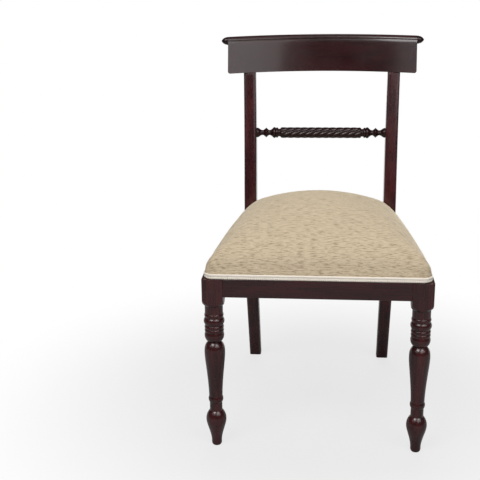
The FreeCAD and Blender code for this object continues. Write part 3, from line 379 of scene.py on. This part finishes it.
rope_rail = mesh_piece("rope_twist_rail", *joined(*rope_rail_surface()))
rope_rail.data.set_sharp_from_angle(angle=rope_crease)
rope_mahogany = mahogany("mahogany_rope", across_grain, shift=(0.5, 0.2, 0.7), dark=paint(24, 7, 9),
                         light=paint(42, 15, 17), rounding=0.0003, coat=0.12)
rope_rail.data.materials.append(rope_mahogany)
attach(rope_rail, "root")
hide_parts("rope_rail")


# Crest: a mahogany board sawn to a bow and raked with the posts, fixed down over their tenons. A
# bead is worked along its top edge, set off from the face by a quirk whose lower lip is rounded over.
crest_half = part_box("crest_rail")[1].x
crest_foot = Vector((0, 0.21092, 0.78366))
crest_bow_radius = 0.86873
crest_lean = math.radians(17.5)
crest_tilt = math.radians(5.5)
crest_height = 0.091
crest_thickness = 0.022
crest_top_back = 0.0188
crest_corner_radius = 0.006
crest_crease = math.radians(50)
quirk_drop = 0.0116
lip_radius = 0.055
lip_top = crest_height - quirk_drop
lip_turn = math.radians(9.5)
bead_radius = 0.010
bead_proud = 0.0012
bead_turn = math.radians(-5)
bead_middle = bead_radius - bead_proud
bead_height = crest_height - bead_radius


def on_crest(x, back, up):
    """Points of the bowed board: distances back from and up along the raked face, swung about an
    upright axis in front of the chair, so that the arc's reach at x is the root of its swing
    squared less x squared."""
    swing = crest_bow_radius + back * math.cos(crest_lean) + up * math.sin(crest_lean)
    height = up * math.cos(crest_lean) - back * math.sin(crest_lean)
    reach = np.sqrt(swing ** 2 - x ** 2) - crest_bow_radius
    y = crest_foot.y + reach * math.cos(crest_tilt) - height * math.sin(crest_tilt)
    z = crest_foot.z + reach * math.sin(crest_tilt) + height * math.cos(crest_tilt)
    return np.stack(np.broadcast_arrays(x, y, z), axis=-1)


def tube_faces(rows, columns):
    """Quads between closed sections, with one face over the first section and one over the last."""
    faces = grid_faces(rows, columns, wrap=True)
    faces.append(list(range(columns))[::-1])
    faces.append(list(range((rows - 1) * columns, rows * columns)))
    return faces


def crest_surface(across=60, corner=9, steps=12, lip_steps=8, bead_steps=19, foot_steps=5):
    """Section carried along the bow: flat face, lip on a wide arc, bead and back edge on circles,
    back and foot; towards the ends the foot rises on a circle, for the rounded lower corners."""
    turn = np.linspace(0, QUARTER, corner)
    right_end = crest_half - crest_corner_radius * (1 - np.sin(turn[::-1]))
    between = np.linspace(right_end[-1], -right_end[-1], across)[1:-1]
    x = np.concatenate([right_end, between, -right_end[::-1]])[:, None]
    past = np.maximum(np.abs(x) - (crest_half - crest_corner_radius), 0)
    lift = crest_corner_radius - np.sqrt(np.maximum(crest_corner_radius ** 2 - past ** 2, 0))
    lip_start = lip_top - lip_radius * math.sin(lip_turn)
    back_foot = crest_thickness * math.tan(crest_lean)
    face = np.linspace(0, 1, steps)[:-1]
    lip = np.linspace(0, lip_turn, lip_steps)
    roll = np.linspace(bead_turn, QUARTER, bead_steps)[:-1]
    over = np.linspace(0, QUARTER, steps)
    rear = np.linspace(0, 1, steps)[1:]
    foot = np.linspace(0, 1, foot_steps)[1:-1]
    stretches = [
        (0 * face, lift + (lip_start - lift) * face),
        (lip_radius * (1 - np.cos(lip)), lip_start + lip_radius * np.sin(lip)),
        (bead_middle - bead_radius * np.cos(roll), bead_height + bead_radius * np.sin(roll)),
        (bead_middle + (crest_top_back - bead_middle) * np.sin(over),
         bead_height + bead_radius * np.cos(over)),
        (crest_top_back + (crest_thickness - crest_top_back) * rear,
         bead_height * (1 - rear) + (back_foot + lift) * rear),
        (crest_thickness * (1 - foot), (back_foot + lift) * (1 - foot) + lift * foot)]
    back, up = (np.hstack([np.broadcast_to(part, (len(x), part.shape[-1])) for part in parts])
                for parts in zip(*stretches))
    return on_crest(x, back, up).reshape(-1, 3), tube_faces(*back.shape)


crest = mesh_piece("crest_board", *crest_surface())
crest.data.set_sharp_from_angle(angle=crest_crease)
crest_mahogany = mahogany("mahogany_crest", across_grain, shift=(0.1, 0.7, 0.9),
                          dark=paint(33, 10, 12), light=paint(50, 17, 19), rounding=0.001)
crest.data.materials.append(crest_mahogany)
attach(crest, "root")
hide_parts("crest_rail")


# Finials: a small bud turned from mahogany, with a bead where it meets the crest, pegged into each
# end of the crest's bead.
bud_length = 0.017
bud_radius = 0.0088
bud_fullness = 1.9
bud_bluntness = 0.75
bud_bead_length = 0.005
bud_bead_radius = 0.009
bud_bead_rise = 0.0008
bud_peg_length = 0.012
bud_peg_radius = 0.004


def bud_surface(side, around=40, along=16):
    """Radius over distance from the crest's end: peg, parabolic bead, and a bud whose radius falls
    as one less the distance to the power of its fullness, itself to the power of its bluntness."""
    t = np.sin(np.linspace(0, QUARTER, along))
    bud = np.stack([bud_bead_length + (bud_length - bud_bead_length) * t,
                    bud_radius * (1 - t ** bud_fullness) ** bud_bluntness], axis=1)
    peg = [(-bud_peg_length, 0), (-bud_peg_length, bud_peg_radius), (0, bud_peg_radius),
           (0, bud_bead_radius)]
    ring = bead((0, bud_bead_radius), (bud_bead_length, bud_bead_radius), bud_bead_rise)
    stations = np.concatenate([peg, ring, bud])
    distance, radius = stations[:, :1], stations[:, 1:]
    angle = np.linspace(0, 2 * math.pi, around, endpoint=False) * side
    middle = on_crest(side * crest_half, bead_middle, bead_height)
    points = np.stack([np.repeat(middle[0] + side * distance, around, axis=1),
                       middle[1] + radius * np.cos(angle),
                       middle[2] + radius * np.sin(angle)], axis=-1)
    return points.reshape(-1, 3), grid_faces(len(stations), around, wrap=True)


for side, end in ((-1, "left"), (1, "right")):
    bud = mesh_piece("crest_bud_" + end, *joined(*bud_surface(side)))
    bud.data.set_sharp_from_angle(angle=crest_crease)
    bud.data.materials.append(rope_mahogany)
    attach(bud, "root")
    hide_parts("crest_finial_" + end)


# Corner blocks: pale rubberwood braces glued and screwed into the four corners of the seat frame,
# left unfinished because the seat hides them. Zinc-plated wood screws hold them and the seat.

def bare_wood(name, dark, light, turn):
    """Unfinished timber with open grain, duller where the grain is sunk."""
    material, tree, shader = new_material(name, Specular_IOR_Level=0.3)
    grain_depth = 0.00015
    dullest = 0.75
    smoothest = 0.55
    place = add(tree, "Mapping", {"Vector": piece_place(tree), "Rotation": turn}).outputs[0]
    figure = place_group(tree, wood_figure, {"Place": place, "Dark": dark, "Light": light,
                                             "Pore Depth": 0.35})
    tree.links.new(figure["Color"], shader["Base Color"])
    polish = spread(tree, figure["Height"], -0.5, 0.3, dullest, smoothest)
    tree.links.new(polish, shader["Roughness"])
    tree.links.new(bumped(tree, figure["Height"], grain_depth), shader["Normal"])
    return material


slanting_grain = (0, 0, QUARTER / 2)
rubberwood = bare_wood("rubberwood", paint(176, 138, 94), paint(214, 182, 136), slanting_grain)
dress(rubberwood, "corner_block_front_left", "corner_block_front_right",
      "corner_block_back_left", "corner_block_back_right")


def zinc_steel():
    """Zinc plating: a pale metal with dull patches and fine scuffs."""
    material, tree, shader = new_material("zinc_steel", Metallic=1.0)
    scuff_depth = 0.00004
    dullest = 0.42
    brightest = 0.26
    place = piece_place(tree)
    patch = streaks(tree, place, (260, 260, 260), detail=3)
    colour = mixed(tree, patch, paint(150, 152, 156), paint(206, 208, 212))
    tree.links.new(colour, shader["Base Color"])
    tree.links.new(spread(tree, patch, 0.25, 0.75, dullest, brightest), shader["Roughness"])
    scuffs = streaks(tree, place, (900, 900, 900), detail=2)
    tree.links.new(bumped(tree, scuffs, scuff_depth), shader["Normal"])
    return material


steel = zinc_steel()
dress(steel, "corner_block_screws", "seat_screws")


# Seat board: twelve millimetre plywood under the filling, five veneers of pale birch that show as
# bands on its edge. Screws through the corner blocks hold it down.

def birch_plywood():
    """Birch face veneer, with veneers of turned grain in bands over the height."""
    material, tree, shader = new_material("birch_plywood", Specular_IOR_Level=0.3, Roughness=0.7)
    veneer_thickness = 0.0024
    grain_depth = 0.0001
    place = piece_place(tree)
    figure = place_group(tree, wood_figure, {"Place": place, "Dark": paint(190, 154, 108),
                                             "Light": paint(226, 198, 156), "Pore Depth": 0.25})
    height = add(tree, "SeparateXYZ", {"Vector": place}).outputs["Z"]
    band = spread(tree, sums(tree, "PINGPONG", height, veneer_thickness), 0.0009, 0.0015)
    tree.links.new(mixed(tree, band, figure["Color"], paint(168, 130, 88)), shader["Base Color"])
    tree.links.new(bumped(tree, figure["Height"], grain_depth), shader["Normal"])
    return material


dress(birch_plywood(), "seat_board")


# Seat pad: foam over the board, covered with one piece of beige chenille that is pulled down tight
# over the crown and tacked under the edge. The weft's slubs show as short darker streaks across the
# seat.
cover_low, cover_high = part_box("seat_cover")
post_gap = 0.001
post_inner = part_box("seat_gimp_back")[1].x + post_gap
post_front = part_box("back_post_left")[0].y
post_bend_radius = 0.599
rail_top = cover_low.z
pad_front = cover_low.y
pad_back = cover_high.y
pad_inset = 0.002
pad_front_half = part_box("front_leg_right")[1].x - pad_inset
pad_taper = 0.1409
pad_corner_radius = 0.020
pad_edge = 0.014
pad_crown = cover_high.z - cover_low.z
pad_crown_run = 0.272
pad_front_roll = 0.061
pad_rear_roll = 0.065
pad_side_roll = 0.0915
pad_roll_fade = 0.80
pad_least_rise = 0.001
pad_roll_limit = 0.98
pad_step = 0.0001
pad_voxel = 0.005
pad_stuffing = 4.0
pad_reach = 0.004
pad_tack_margin = 0.002


def crown_angle(run, edge, roll, crown, halvings=50):
    """Angle where a rolled edge passes into an arc that is level in the middle, found for each
    section by halving the range in which it lies, from all but level to all but upright."""
    low = np.full(np.shape(run), 0.001)
    high = np.full(np.shape(run), QUARTER - 0.000001)
    for _ in range(halvings):
        angle = (low + high) / 2
        height = edge + roll * np.sin(angle)
        height = height + (run - roll + roll * np.cos(angle)) * (1 - np.sin(angle)) / np.cos(angle)
        low = np.where(height > crown, angle, low)
        high = np.where(height > crown, high, angle)
    return angle


def crown_height(inward, run, edge, roll, crown):
    """Height of two tangent arcs, an edge roll and a crown, at a distance inward from the upright
    edge."""
    angle = crown_angle(run, edge, roll, crown)
    radius = (run - roll + roll * np.cos(angle)) / np.cos(angle)
    rolled = edge + np.sqrt(np.maximum(roll ** 2 - (roll - np.minimum(inward, roll)) ** 2, 0))
    crowned = crown - radius + np.sqrt(np.maximum(radius ** 2 - (run - inward) ** 2, 0))
    return np.where(inward <= roll * (1 - np.cos(angle)), rolled, crowned)


def pad_side(y):
    """Half width of the upright edge along its straight taper."""
    return pad_front_half - pad_taper * (y - pad_front)


taper_stretch = math.hypot(1, pad_taper)
pad_corner_y = pad_front + pad_corner_radius
pad_corner_x = pad_side(pad_corner_y) - pad_corner_radius * taper_stretch


def pad_half_width(y):
    """Half width of the upright edge: a straight taper, and front corners on circles tangent to
    front and side."""
    behind = y - pad_corner_y
    corner = pad_corner_x + np.sqrt(np.maximum(pad_corner_radius ** 2 - behind ** 2, 0))
    return np.where(behind < pad_corner_radius * pad_taper / taper_stretch, corner, pad_side(y))


def pad_surface(rows=90, across=44, upright=4):
    """Sections across the seat, from front to back: upright edge, side roll and crown, whose height
    follows the same three along the middle of the seat. Behind the posts' front the sides are cut
    off square."""
    ease = 0.5 - 0.5 * np.cos(np.linspace(0, math.pi, rows))
    stations = np.append(pad_front + (pad_back - pad_front) * ease,
                         [post_front, post_front + pad_step])
    y = np.sort(stations)[:, None]
    crown_y = pad_front + pad_crown_run
    front = crown_height(y - pad_front, pad_crown_run, pad_edge, pad_front_roll, pad_crown)
    rear = crown_height(pad_back - y, pad_back - crown_y, pad_edge, pad_rear_roll, pad_crown)
    height = np.maximum(np.where(y < crown_y, front, rear), pad_edge + pad_least_rise)
    half = pad_half_width(y)
    fullness = (height - pad_edge) / (pad_crown - pad_edge)
    roll = np.minimum(pad_side_roll * fullness ** pad_roll_fade,
                      pad_roll_limit * (height - pad_edge))
    angle = crown_angle(half, pad_edge, roll, height)
    roll_end = half - roll + roll * np.cos(angle)
    radius = roll_end / np.cos(angle)
    t = np.linspace(0, 1, across)
    swing = angle * t
    lean = np.arcsin(np.clip(roll_end / radius, -1, 1)) * (1 - t[1:])
    edge_z = np.linspace(0, pad_edge, upright + 1)[None, :-1]
    x = np.hstack([np.repeat(half, upright, axis=1), half - roll + roll * np.cos(swing),
                   radius * np.sin(lean)])
    z = np.hstack([np.repeat(edge_z, len(y), axis=0), pad_edge + roll * np.sin(swing),
                   height - radius + radius * np.cos(lean)])
    x = np.where(y > post_front, np.minimum(x, post_inner - post_gap), x)
    x = np.hstack([x, -x[:, -2::-1]])
    z = np.hstack([z, z[:, -2::-1]]) + rail_top
    points = np.stack([x, np.repeat(y, x.shape[1], axis=1), z], axis=-1)
    return points.reshape(-1, 3), tube_faces(*x.shape)


def mesh_points(mesh):
    """Array of a mesh's points, a row each."""
    points = np.empty(len(mesh.vertices) * 3, np.float32)
    mesh.vertices.foreach_get("co", points)
    return points.reshape(-1, 3).astype(float)


def remeshed(piece, voxel):
    """Gives a piece an even mesh of small squares over its closed form, smoothed of the voxels'
    steps."""
    piece.modifiers.new("even", "REMESH").voxel_size = voxel
    smooth = piece.modifiers.new("ease", "SMOOTH")
    smooth.factor = 0.5
    smooth.iterations = 4
    graph = bpy.context.evaluated_depsgraph_get()
    mesh = bpy.data.meshes.new_from_object(piece.evaluated_get(graph))
    piece.modifiers.clear()
    piece.data = mesh
    mesh.polygons.foreach_set("use_smooth", np.ones(len(mesh.polygons), bool))


def stuffed(piece, pinned, pressure, reach, frames=20):
    """Points of the cover after the filling has pressed it out: a cloth simulation without gravity,
    held at the tacked edge, in which no point moves further than the reach."""
    held = piece.vertex_groups.new(name="tacked")
    held.add(np.flatnonzero(pinned).tolist(), 1.0, "REPLACE")
    cloth = piece.modifiers.new("stuffing", "CLOTH")
    cloth.settings.vertex_group_mass = held.name
    cloth.settings.use_pressure = True
    cloth.settings.uniform_pressure_force = pressure
    cloth.settings.effector_weights.gravity = 0.0
    cloth.settings.quality = 6
    cloth.point_cache.frame_end = frames
    for number in range(1, frames + 1):
        scene.frame_set(number)
    start = mesh_points(piece.data)
    graph = bpy.context.evaluated_depsgraph_get()
    moved = mesh_points(piece.evaluated_get(graph).data) - start
    piece.modifiers.clear()
    piece.vertex_groups.clear()
    scene.frame_set(1)
    length = np.linalg.norm(moved, axis=1, keepdims=True)
    return start + moved * (reach / np.maximum(length, reach))


def clear_of_posts(points):
    """Points pushed straight out of the two posts, whose fronts lean back on a wide arc above the
    rail."""
    x, y, z = points.T
    front = post_front - post_gap + np.maximum(z - rail_top, 0) ** 2 / (2 * post_bend_radius)
    inner = post_inner - post_gap
    over_x = np.abs(x) - inner
    over_y = y - front
    inside = (over_x > 0) & (over_y > 0)
    y = np.where(inside & (over_y <= over_x), front, y)
    x = np.where(inside & (over_x < over_y), np.sign(x) * inner, x)
    return np.stack([x, y, np.maximum(z, rail_top)], axis=1)


seat_pad = mesh_piece("seat_pad", *pad_surface())
remeshed(seat_pad, pad_voxel)
pad_points = mesh_points(seat_pad.data)
tacked = pad_points[:, 2] < rail_top + pad_edge - pad_tack_margin
pad_points = stuffed(seat_pad, tacked, pad_stuffing, pad_reach)
pad_points = clear_of_posts(pad_points)
seat_pad.data.vertices.foreach_set("co", pad_points.astype(np.float32).ravel())
seat_pad.data.update()

side_draw = 0.7
front_draw = 0.8


def cloth_lie(points):
    """Place on the flat cloth: distance from the crown's middle to the side and to the front, each
    drawn out in step with the drop below the crown, as the cloth lies over the slope."""
    drop = np.maximum(rail_top + pad_crown - points[:, 2], 0)
    fall = points[:, 1] - pad_front - pad_crown_run
    over_side = points[:, 0] * (1 + side_draw * drop / pad_front_half)
    over_front = fall * (1 + front_draw * drop / pad_crown_run)
    return np.stack([over_side, over_front, np.zeros(len(points))], axis=1)


lie = seat_pad.data.attributes.new("cloth_lie", "FLOAT_VECTOR", "POINT")
lie.data.foreach_set("vector", cloth_lie(pad_points).astype(np.float32).ravel())
subdivision = seat_pad.modifiers.new("finer", "SUBSURF")
subdivision.levels = 1
subdivision.render_levels = 1


def weave_group():
    """Cloth of thick soft weft slubs over a fine warp: place X runs along the weft. Slub and cloud
    noise are added by their shares, and the threads are the product of a sine each way."""
    tree, given, out = node_group("slub_weave", [
        ("Place", "Vector", None), ("Ground", "Color", WHITE), ("Slub", "Color", BLACK),
        ("Fleck", "Color", WHITE)], [("Color", "Color"), ("Height", "Float")])
    cloud_share = 0.2
    slub_share = 0.8
    fleck_share = 0.55
    weft_turns = 3900.0
    warp_turns = 3100.0
    slub_relief = 1.6
    thread_relief = 0.12
    place = given["Place"]
    cloud = streaks(tree, place, (30, 60, 30), detail=3)
    slub = streaks(tree, place, (58, 340, 340), detail=3)
    uneven = sums(tree, "MULTIPLY_ADD", cloud, cloud_share, times(tree, slub, slub_share))
    colour = mixed(tree, spread(tree, uneven, 0.42, 0.72), given["Ground"], given["Slub"])
    pale = spread(tree, streaks(tree, place, (120, 560, 560), detail=2), 0.54, 0.74)
    colour = mixed(tree, times(tree, pale, fleck_share), colour, given["Fleck"])
    split = add(tree, "SeparateXYZ", {"Vector": place}).outputs
    weft = sums(tree, "SINE", times(tree, split["Y"], weft_turns))
    warp = sums(tree, "SINE", times(tree, split["X"], warp_turns))
    threads = times(tree, weft, warp)
    pile = streaks(tree, place, (700, 1400, 1400), detail=2)
    nap = sums(tree, "MULTIPLY_ADD", threads, thread_relief, pile)
    tree.links.new(sums(tree, "MULTIPLY_ADD", slub, slub_relief, nap), out["Height"])
    # Painted shade and highlight: the colour is darker in the dips between threads and lighter on
    # their crowns.
    shade = spread(tree, threads, -1.0, 1.0, 0.93, 1.03)
    tree.links.new(shaded(tree, colour, shade), out["Color"])
    return tree


slub_weave = weave_group()


def chenille():
    """Beige chenille: slub weave on the lie of the cloth, with the soft sheen of its pile."""
    material, tree, shader = new_material(
        "beige_chenille", Roughness=0.9, Specular_IOR_Level=0.15, Sheen_Weight=1.0,
        Sheen_Roughness=0.35, Sheen_Tint=paint(240, 228, 206))
    pile_depth = 0.0006
    place = add(tree, "Attribute", attribute_name="cloth_lie").outputs["Vector"]
    cloth = place_group(tree, slub_weave, {"Place": place, "Ground": paint(198, 181, 154),
                                           "Slub": paint(143, 125, 99),
                                           "Fleck": paint(221, 208, 186)})
    tree.links.new(cloth["Color"], shader["Base Color"])
    tree.links.new(bumped(tree, cloth["Height"], pile_depth, strength=0.6), shader["Normal"])
    return material


seat_pad.data.materials.append(chenille())
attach(seat_pad, "root")
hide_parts("seat_cover", "seat_foam")


# Gimp: a cream braid glued round the foot of the cover to hide its tacks, with a smooth cord along
# the top and a close row of loops below. It runs from post to post round the front, and across the
# back.
gimp_low, gimp_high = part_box("seat_gimp_front")
gimp_height = 0.012
gimp_thickness = 0.002
gimp_clear = 0.0004
gimp_pitch = 0.0044
gimp_steps_per_loop = 8
gimp_bottom = gimp_low.z


def gimp_plan(corner=24):
    """Points round the foot of the pad from the right post to the left one, evenly spaced by
    length: two straight sides, two corner circles and the straight front."""
    turn = np.linspace(math.atan(pad_taper), -QUARTER, corner)
    x = np.concatenate([[pad_side(gimp_high.y)], pad_corner_x + pad_corner_radius * np.cos(turn)])
    y = np.concatenate([[gimp_high.y], pad_corner_y + pad_corner_radius * np.sin(turn)])
    x = np.concatenate([x, -x[::-1]])
    y = np.concatenate([y, y[::-1]])
    run = np.concatenate([[0], np.cumsum(np.hypot(np.diff(x), np.diff(y)))])
    even = np.linspace(0, run[-1], int(run[-1] / gimp_pitch * gimp_steps_per_loop))
    return np.stack([np.interp(even, run, x), np.interp(even, run, y)], axis=1), even


def gimp_surface(plan, run, outward):
    """Braid section carried along a plan line: flat back, a cord along the top, and loops along the
    foot. Height and thickness are shares of the braid's, and those of the loops change with |sin|
    of the distance over the pitch."""
    loop = np.abs(np.sin(math.pi * run / gimp_pitch))[:, None]
    high = np.array([0, 0.10, 0.16, 0.30, 0.44, 0.52, 0.60, 0.76, 0.92, 0.99, 0.97])
    high_at_loop = np.array([0, -0.06, -0.02, 0, 0, 0, 0, 0, 0, 0, 0])
    thick = np.array([0.05, 0.15, 0.30, 0.40, 0.36, 0.42, 0.80, 0.98, 0.80, 0.30, 0.02])
    thick_at_loop = np.array([0, 0.30, 0.50, 0.55, 0.34, 0, 0, 0, 0, 0, 0])
    up = gimp_height * (high + high_at_loop * loop)
    up[:, 0] = gimp_clear
    out = gimp_thickness * (thick + thick_at_loop * loop)
    points = np.stack([plan[:, :1] + outward[:, :1] * out, plan[:, 1:] + outward[:, 1:] * out,
                       gimp_bottom + up], axis=-1)
    return points.reshape(-1, 3), tube_faces(*up.shape)


def cream_braid():
    """Cream cotton and rayon: soft sheen, fine threads across the braid, a little soiling, and
    painted shade in its creases.
    """
    material, tree, shader = new_material("cream_braid", Roughness=0.75, Specular_IOR_Level=0.25,
                                          Sheen_Weight=0.2)
    soil_share = 0.15
    crease_reach = 0.003
    thread_depth = 0.0002
    place = piece_place(tree)
    thread = streaks(tree, place, (1500, 1500, 240), detail=2)
    soil = spread(tree, streaks(tree, place, (40, 40, 40), detail=3), 0.45, 0.75)
    colour = mixed(tree, spread(tree, thread, 0.3, 0.7), paint(230, 220, 204), paint(243, 236, 225))
    colour = mixed(tree, times(tree, soil, soil_share), colour, paint(226, 214, 196))
    # Painted shade: ambient occlusion darkens the colour in the creases between the loops.
    openness = add(tree, "AmbientOcclusion", {"Distance": crease_reach}, samples=4).outputs["AO"]
    shade = mixed(tree, spread(tree, openness, 0.2, 0.8), paint(244, 236, 224), WHITE)
    tree.links.new(mixed(tree, 1.0, colour, shade, "MULTIPLY"), shader["Base Color"])
    tree.links.new(bumped(tree, thread, thread_depth), shader["Normal"])
    return material


braid = cream_braid()


def glue_gimp(name, node, plan, run):
    """Makes a length of braid on a plan line that has the pad on its right, and puts it in its
    node's place."""
    along = np.gradient(plan, axis=0)
    along /= np.linalg.norm(along, axis=1, keepdims=True)
    outward = np.stack([-along[:, 1], along[:, 0]], axis=1)
    made = mesh_piece(name, *gimp_surface(plan, run, outward))
    made.data.materials.append(braid)
    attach(made, "root")
    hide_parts(node)


glue_gimp("gimp_round_front", "seat_gimp_front", *gimp_plan())
back_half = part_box("seat_gimp_back")[1].x
back_run = np.arange(0, 2 * back_half, gimp_pitch / gimp_steps_per_loop)
back_plan = np.stack([back_run - back_half, np.full(len(back_run), pad_back)], axis=1)
glue_gimp("gimp_across_back", "seat_gimp_back", back_plan, back_run)


# Dust cover: thin black felted cloth stretched under the seat between the rails, cut round the legs
# and posts and stapled to the board, so that it sags a little between its staples.
dust_low, dust_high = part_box("dust_cover")
dust_thickness = 0.0008
dust_gap = 0.002
dust_step = 0.00005
dust_sag = 0.0012
dust_ripple = 0.25 * dust_sag
dust_ripples = 9
dust_taper = 0.1591
leg_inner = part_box("front_leg_right")[0].x - dust_gap
leg_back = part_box("front_leg_right")[1].y + dust_gap
post_cut = post_front - dust_gap


def dust_half_width(y):
    """Half width between the side rails, less where the legs and the posts stand in the corners."""
    half = dust_high.x - dust_taper * (y - leg_back)
    half = np.where(y < leg_back, leg_inner, half)
    return np.where(y > post_cut, post_inner - dust_gap, half)


def dust_surface(rows=60, columns=60):
    """Rows across the opening, lowered by the sag and by ripples times sines that vanish at the
    edges."""
    cuts = [leg_back - dust_step, leg_back + dust_step, post_cut - dust_step, post_cut + dust_step]
    y = np.sort(np.append(np.linspace(dust_low.y, dust_high.y, rows), cuts))[:, None]
    across = np.linspace(-1, 1, columns)[None, :]
    x = dust_half_width(y) * across
    share = (y - dust_low.y) / (dust_high.y - dust_low.y)
    rise = np.cos(QUARTER * across)
    sag = dust_sag * np.sin(math.pi * share) * rise ** 2
    ripple = dust_ripple * np.sin(dust_ripples * math.pi * share) * (1 - rise) * (1 - across ** 2)
    z = dust_high.z - sag - np.abs(ripple)
    points = np.stack([x, np.repeat(y, columns, axis=1), z], axis=-1)
    return points.reshape(-1, 3), grid_faces(len(y), columns)


def black_felt():
    """Felted black cloth: short grey fibres every way over a dull black."""
    material, tree, shader = new_material("black_felt", Roughness=0.95, Specular_IOR_Level=0.1)
    fibre_depth = 0.0003
    fibre = streaks(tree, piece_place(tree), (420, 420, 420), detail=6, roughness=0.7)
    colour = mixed(tree, spread(tree, fibre, 0.4, 0.7), paint(22, 22, 24), paint(58, 57, 58))
    tree.links.new(colour, shader["Base Color"])
    tree.links.new(bumped(tree, fibre, fibre_depth), shader["Normal"])
    return material


dust_cover = mesh_piece("dust_cloth_sheet", *dust_surface())
wall = dust_cover.modifiers.new("thickness", "SOLIDIFY")
wall.thickness = dust_thickness
wall.offset = -1.0
dust_cover.data.materials.append(black_felt())
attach(dust_cover, "root")
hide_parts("dust_cover")
dress(steel, "dust_cover_staples")


# Studio: a pale floor that keeps the chair's shadow, a soft key lamp and a broad dim panel in front
# on each side, a lamp overhead and one behind that the lacquer doesn't mirror, a faint glow above
# the camera, and a white surround.

def white_rays(tree, behind):
    """Mask of the rays that meet white: the camera's everywhere, and those that gloss or glass
    sends on where the mask behind lets them, so that the lacquer mirrors no white from above or in
    front."""
    rays = add(tree, "LightPath").outputs
    sent_on = sums(tree, "MAXIMUM", rays["Is Glossy Ray"], rays["Is Transmission Ray"])
    return sums(tree, "MAXIMUM", rays["Is Camera Ray"], times(tree, sent_on, behind))


def pale_floor():
    """Matt pale floor that keeps part of its own shade near the chair, where the shadow lies, and
    fades with distance to the white of the surround."""
    material, tree, _ = new_material("pale_floor", Roughness=0.9, Specular_IOR_Level=0.0,
                                     Base_Color=(0.36, 0.36, 0.36, 1))
    fade_start = 0.30
    fade_end = 0.95
    near_white = 0.74
    place = piece_place(tree)
    distance = add(tree, "VectorMath", {0: place}, operation="LENGTH").outputs["Value"]
    far = spread(tree, distance, fade_start, fade_end, near_white, 1.0)
    behind = spread(tree, add(tree, "SeparateXYZ", {"Vector": place}).outputs["Y"], 0.5, 1.5)
    own = tree.nodes["Principled BSDF"].outputs[0]
    white = add(tree, "Emission", {"Color": WHITE, "Strength": 1.0}).outputs[0]
    whitened = times(tree, far, white_rays(tree, behind))
    blend = add(tree, "MixShader", {0: whitened, 1: own, 2: white}).outputs[0]
    tree.links.new(blend, tree.nodes["Material Output"].inputs["Surface"])
    return material


floor_half = 9.0
floor_corners = [(-floor_half, -floor_half, 0), (floor_half, -floor_half, 0),
                 (floor_half, floor_half, 0), (-floor_half, floor_half, 0)]
floor = mesh_piece("floor", floor_corners, [[0, 1, 2, 3]], smooth=False)
floor.data.materials.append(pale_floor())

seat_middle = Vector((0.0, 0.0, 0.45))


def soft_lamp(name, place, width, height, power, mirrored=True):
    """Rectangular lamp that faces the seat square on; lacquer shows it only if mirrored."""
    lamp = bpy.data.lights.new(name, "AREA")
    lamp.shape = "RECTANGLE"
    lamp.size = width
    lamp.size_y = height
    lamp.energy = power
    made = bpy.data.objects.new(name, lamp)
    made.location = place
    made.rotation_euler = (seat_middle - Vector(place)).to_track_quat("-Z", "Y").to_euler()
    made.visible_glossy = mirrored
    scene.collection.objects.link(made)


soft_lamp("left_key_lamp", (-1.25, -2.08, 3.0), width=1.6, height=1.3, power=52)
soft_lamp("right_key_lamp", (1.40, -2.00, 2.9), width=1.2, height=1.2, power=19)
soft_lamp("left_fill_lamp", (-1.60, -1.95, 1.75), width=2.0, height=0.9, power=6)
soft_lamp("right_fill_lamp", (1.47, -2.11, 1.95), width=2.6, height=1.4, power=24)
soft_lamp("top_lamp", (0.0, 0.6, 2.8), width=1.6, height=1.2, power=18, mirrored=False)
soft_lamp("back_lamp", (0.0, 2.2, 1.9), width=2.0, height=1.2, power=22, mirrored=False)

world = bpy.data.worlds.new("studio")
scene.world = world
world.use_nodes = True
surround = world.node_tree
horizon_light = 0.08
glow_light = 0.75
glow_way = (0, -0.5, 0.866)
glow_rim = 0.78
glow_heart = 0.98
outward = add(surround, "TexCoord").outputs["Generated"]
way = add(surround, "SeparateXYZ", {"Vector": outward}).outputs
near_glow = add(surround, "VectorMath", {0: outward, 1: glow_way}, operation="DOT_PRODUCT")
dome = spread(surround, near_glow.outputs["Value"], glow_rim, glow_heart, horizon_light, glow_light)
backdrop = times(surround, spread(surround, way["Y"], 0.55, 0.9),
                 spread(surround, way["Z"], 0.15, 0.02))
strength = add(surround, "Mix", {0: white_rays(surround, backdrop), 2: dome, 3: 1.0}).outputs[0]
background = surround.nodes["Background"].inputs
background["Color"].default_value = WHITE
surround.links.new(strength, background["Strength"])

leg_low, leg_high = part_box("front_leg_left")
camera_side = 0.0211
camera_distance = 1.8109
camera_height = 1.0375
camera_place = Vector((camera_side, (leg_low.y + leg_high.y) / 2 - camera_distance, camera_height))
camera_yaw, camera_pitch, camera_roll = (math.radians(a) for a in (-5.79, 16.94, -0.86))
forward = Vector((math.sin(camera_yaw) * math.cos(camera_pitch),
                  math.cos(camera_yaw) * math.cos(camera_pitch), -math.sin(camera_pitch)))
level = Vector((math.cos(camera_yaw), -math.sin(camera_yaw), 0))
above = level.cross(forward)
right = level * math.cos(camera_roll) + above * math.sin(camera_roll)
upward = above * math.cos(camera_roll) - level * math.sin(camera_roll)
facing = Matrix((right, upward, -forward)).transposed().to_4x4()
camera = bpy.data.objects.new("camera", bpy.data.cameras.new("camera"))
camera.data.lens = 67.69
camera.data.sensor_width = 36.0
camera.matrix_world = Matrix.Translation(camera_place) @ facing
scene.collection.objects.link(camera)
scene.camera = camera
scene.view_settings.view_transform = "Standard"
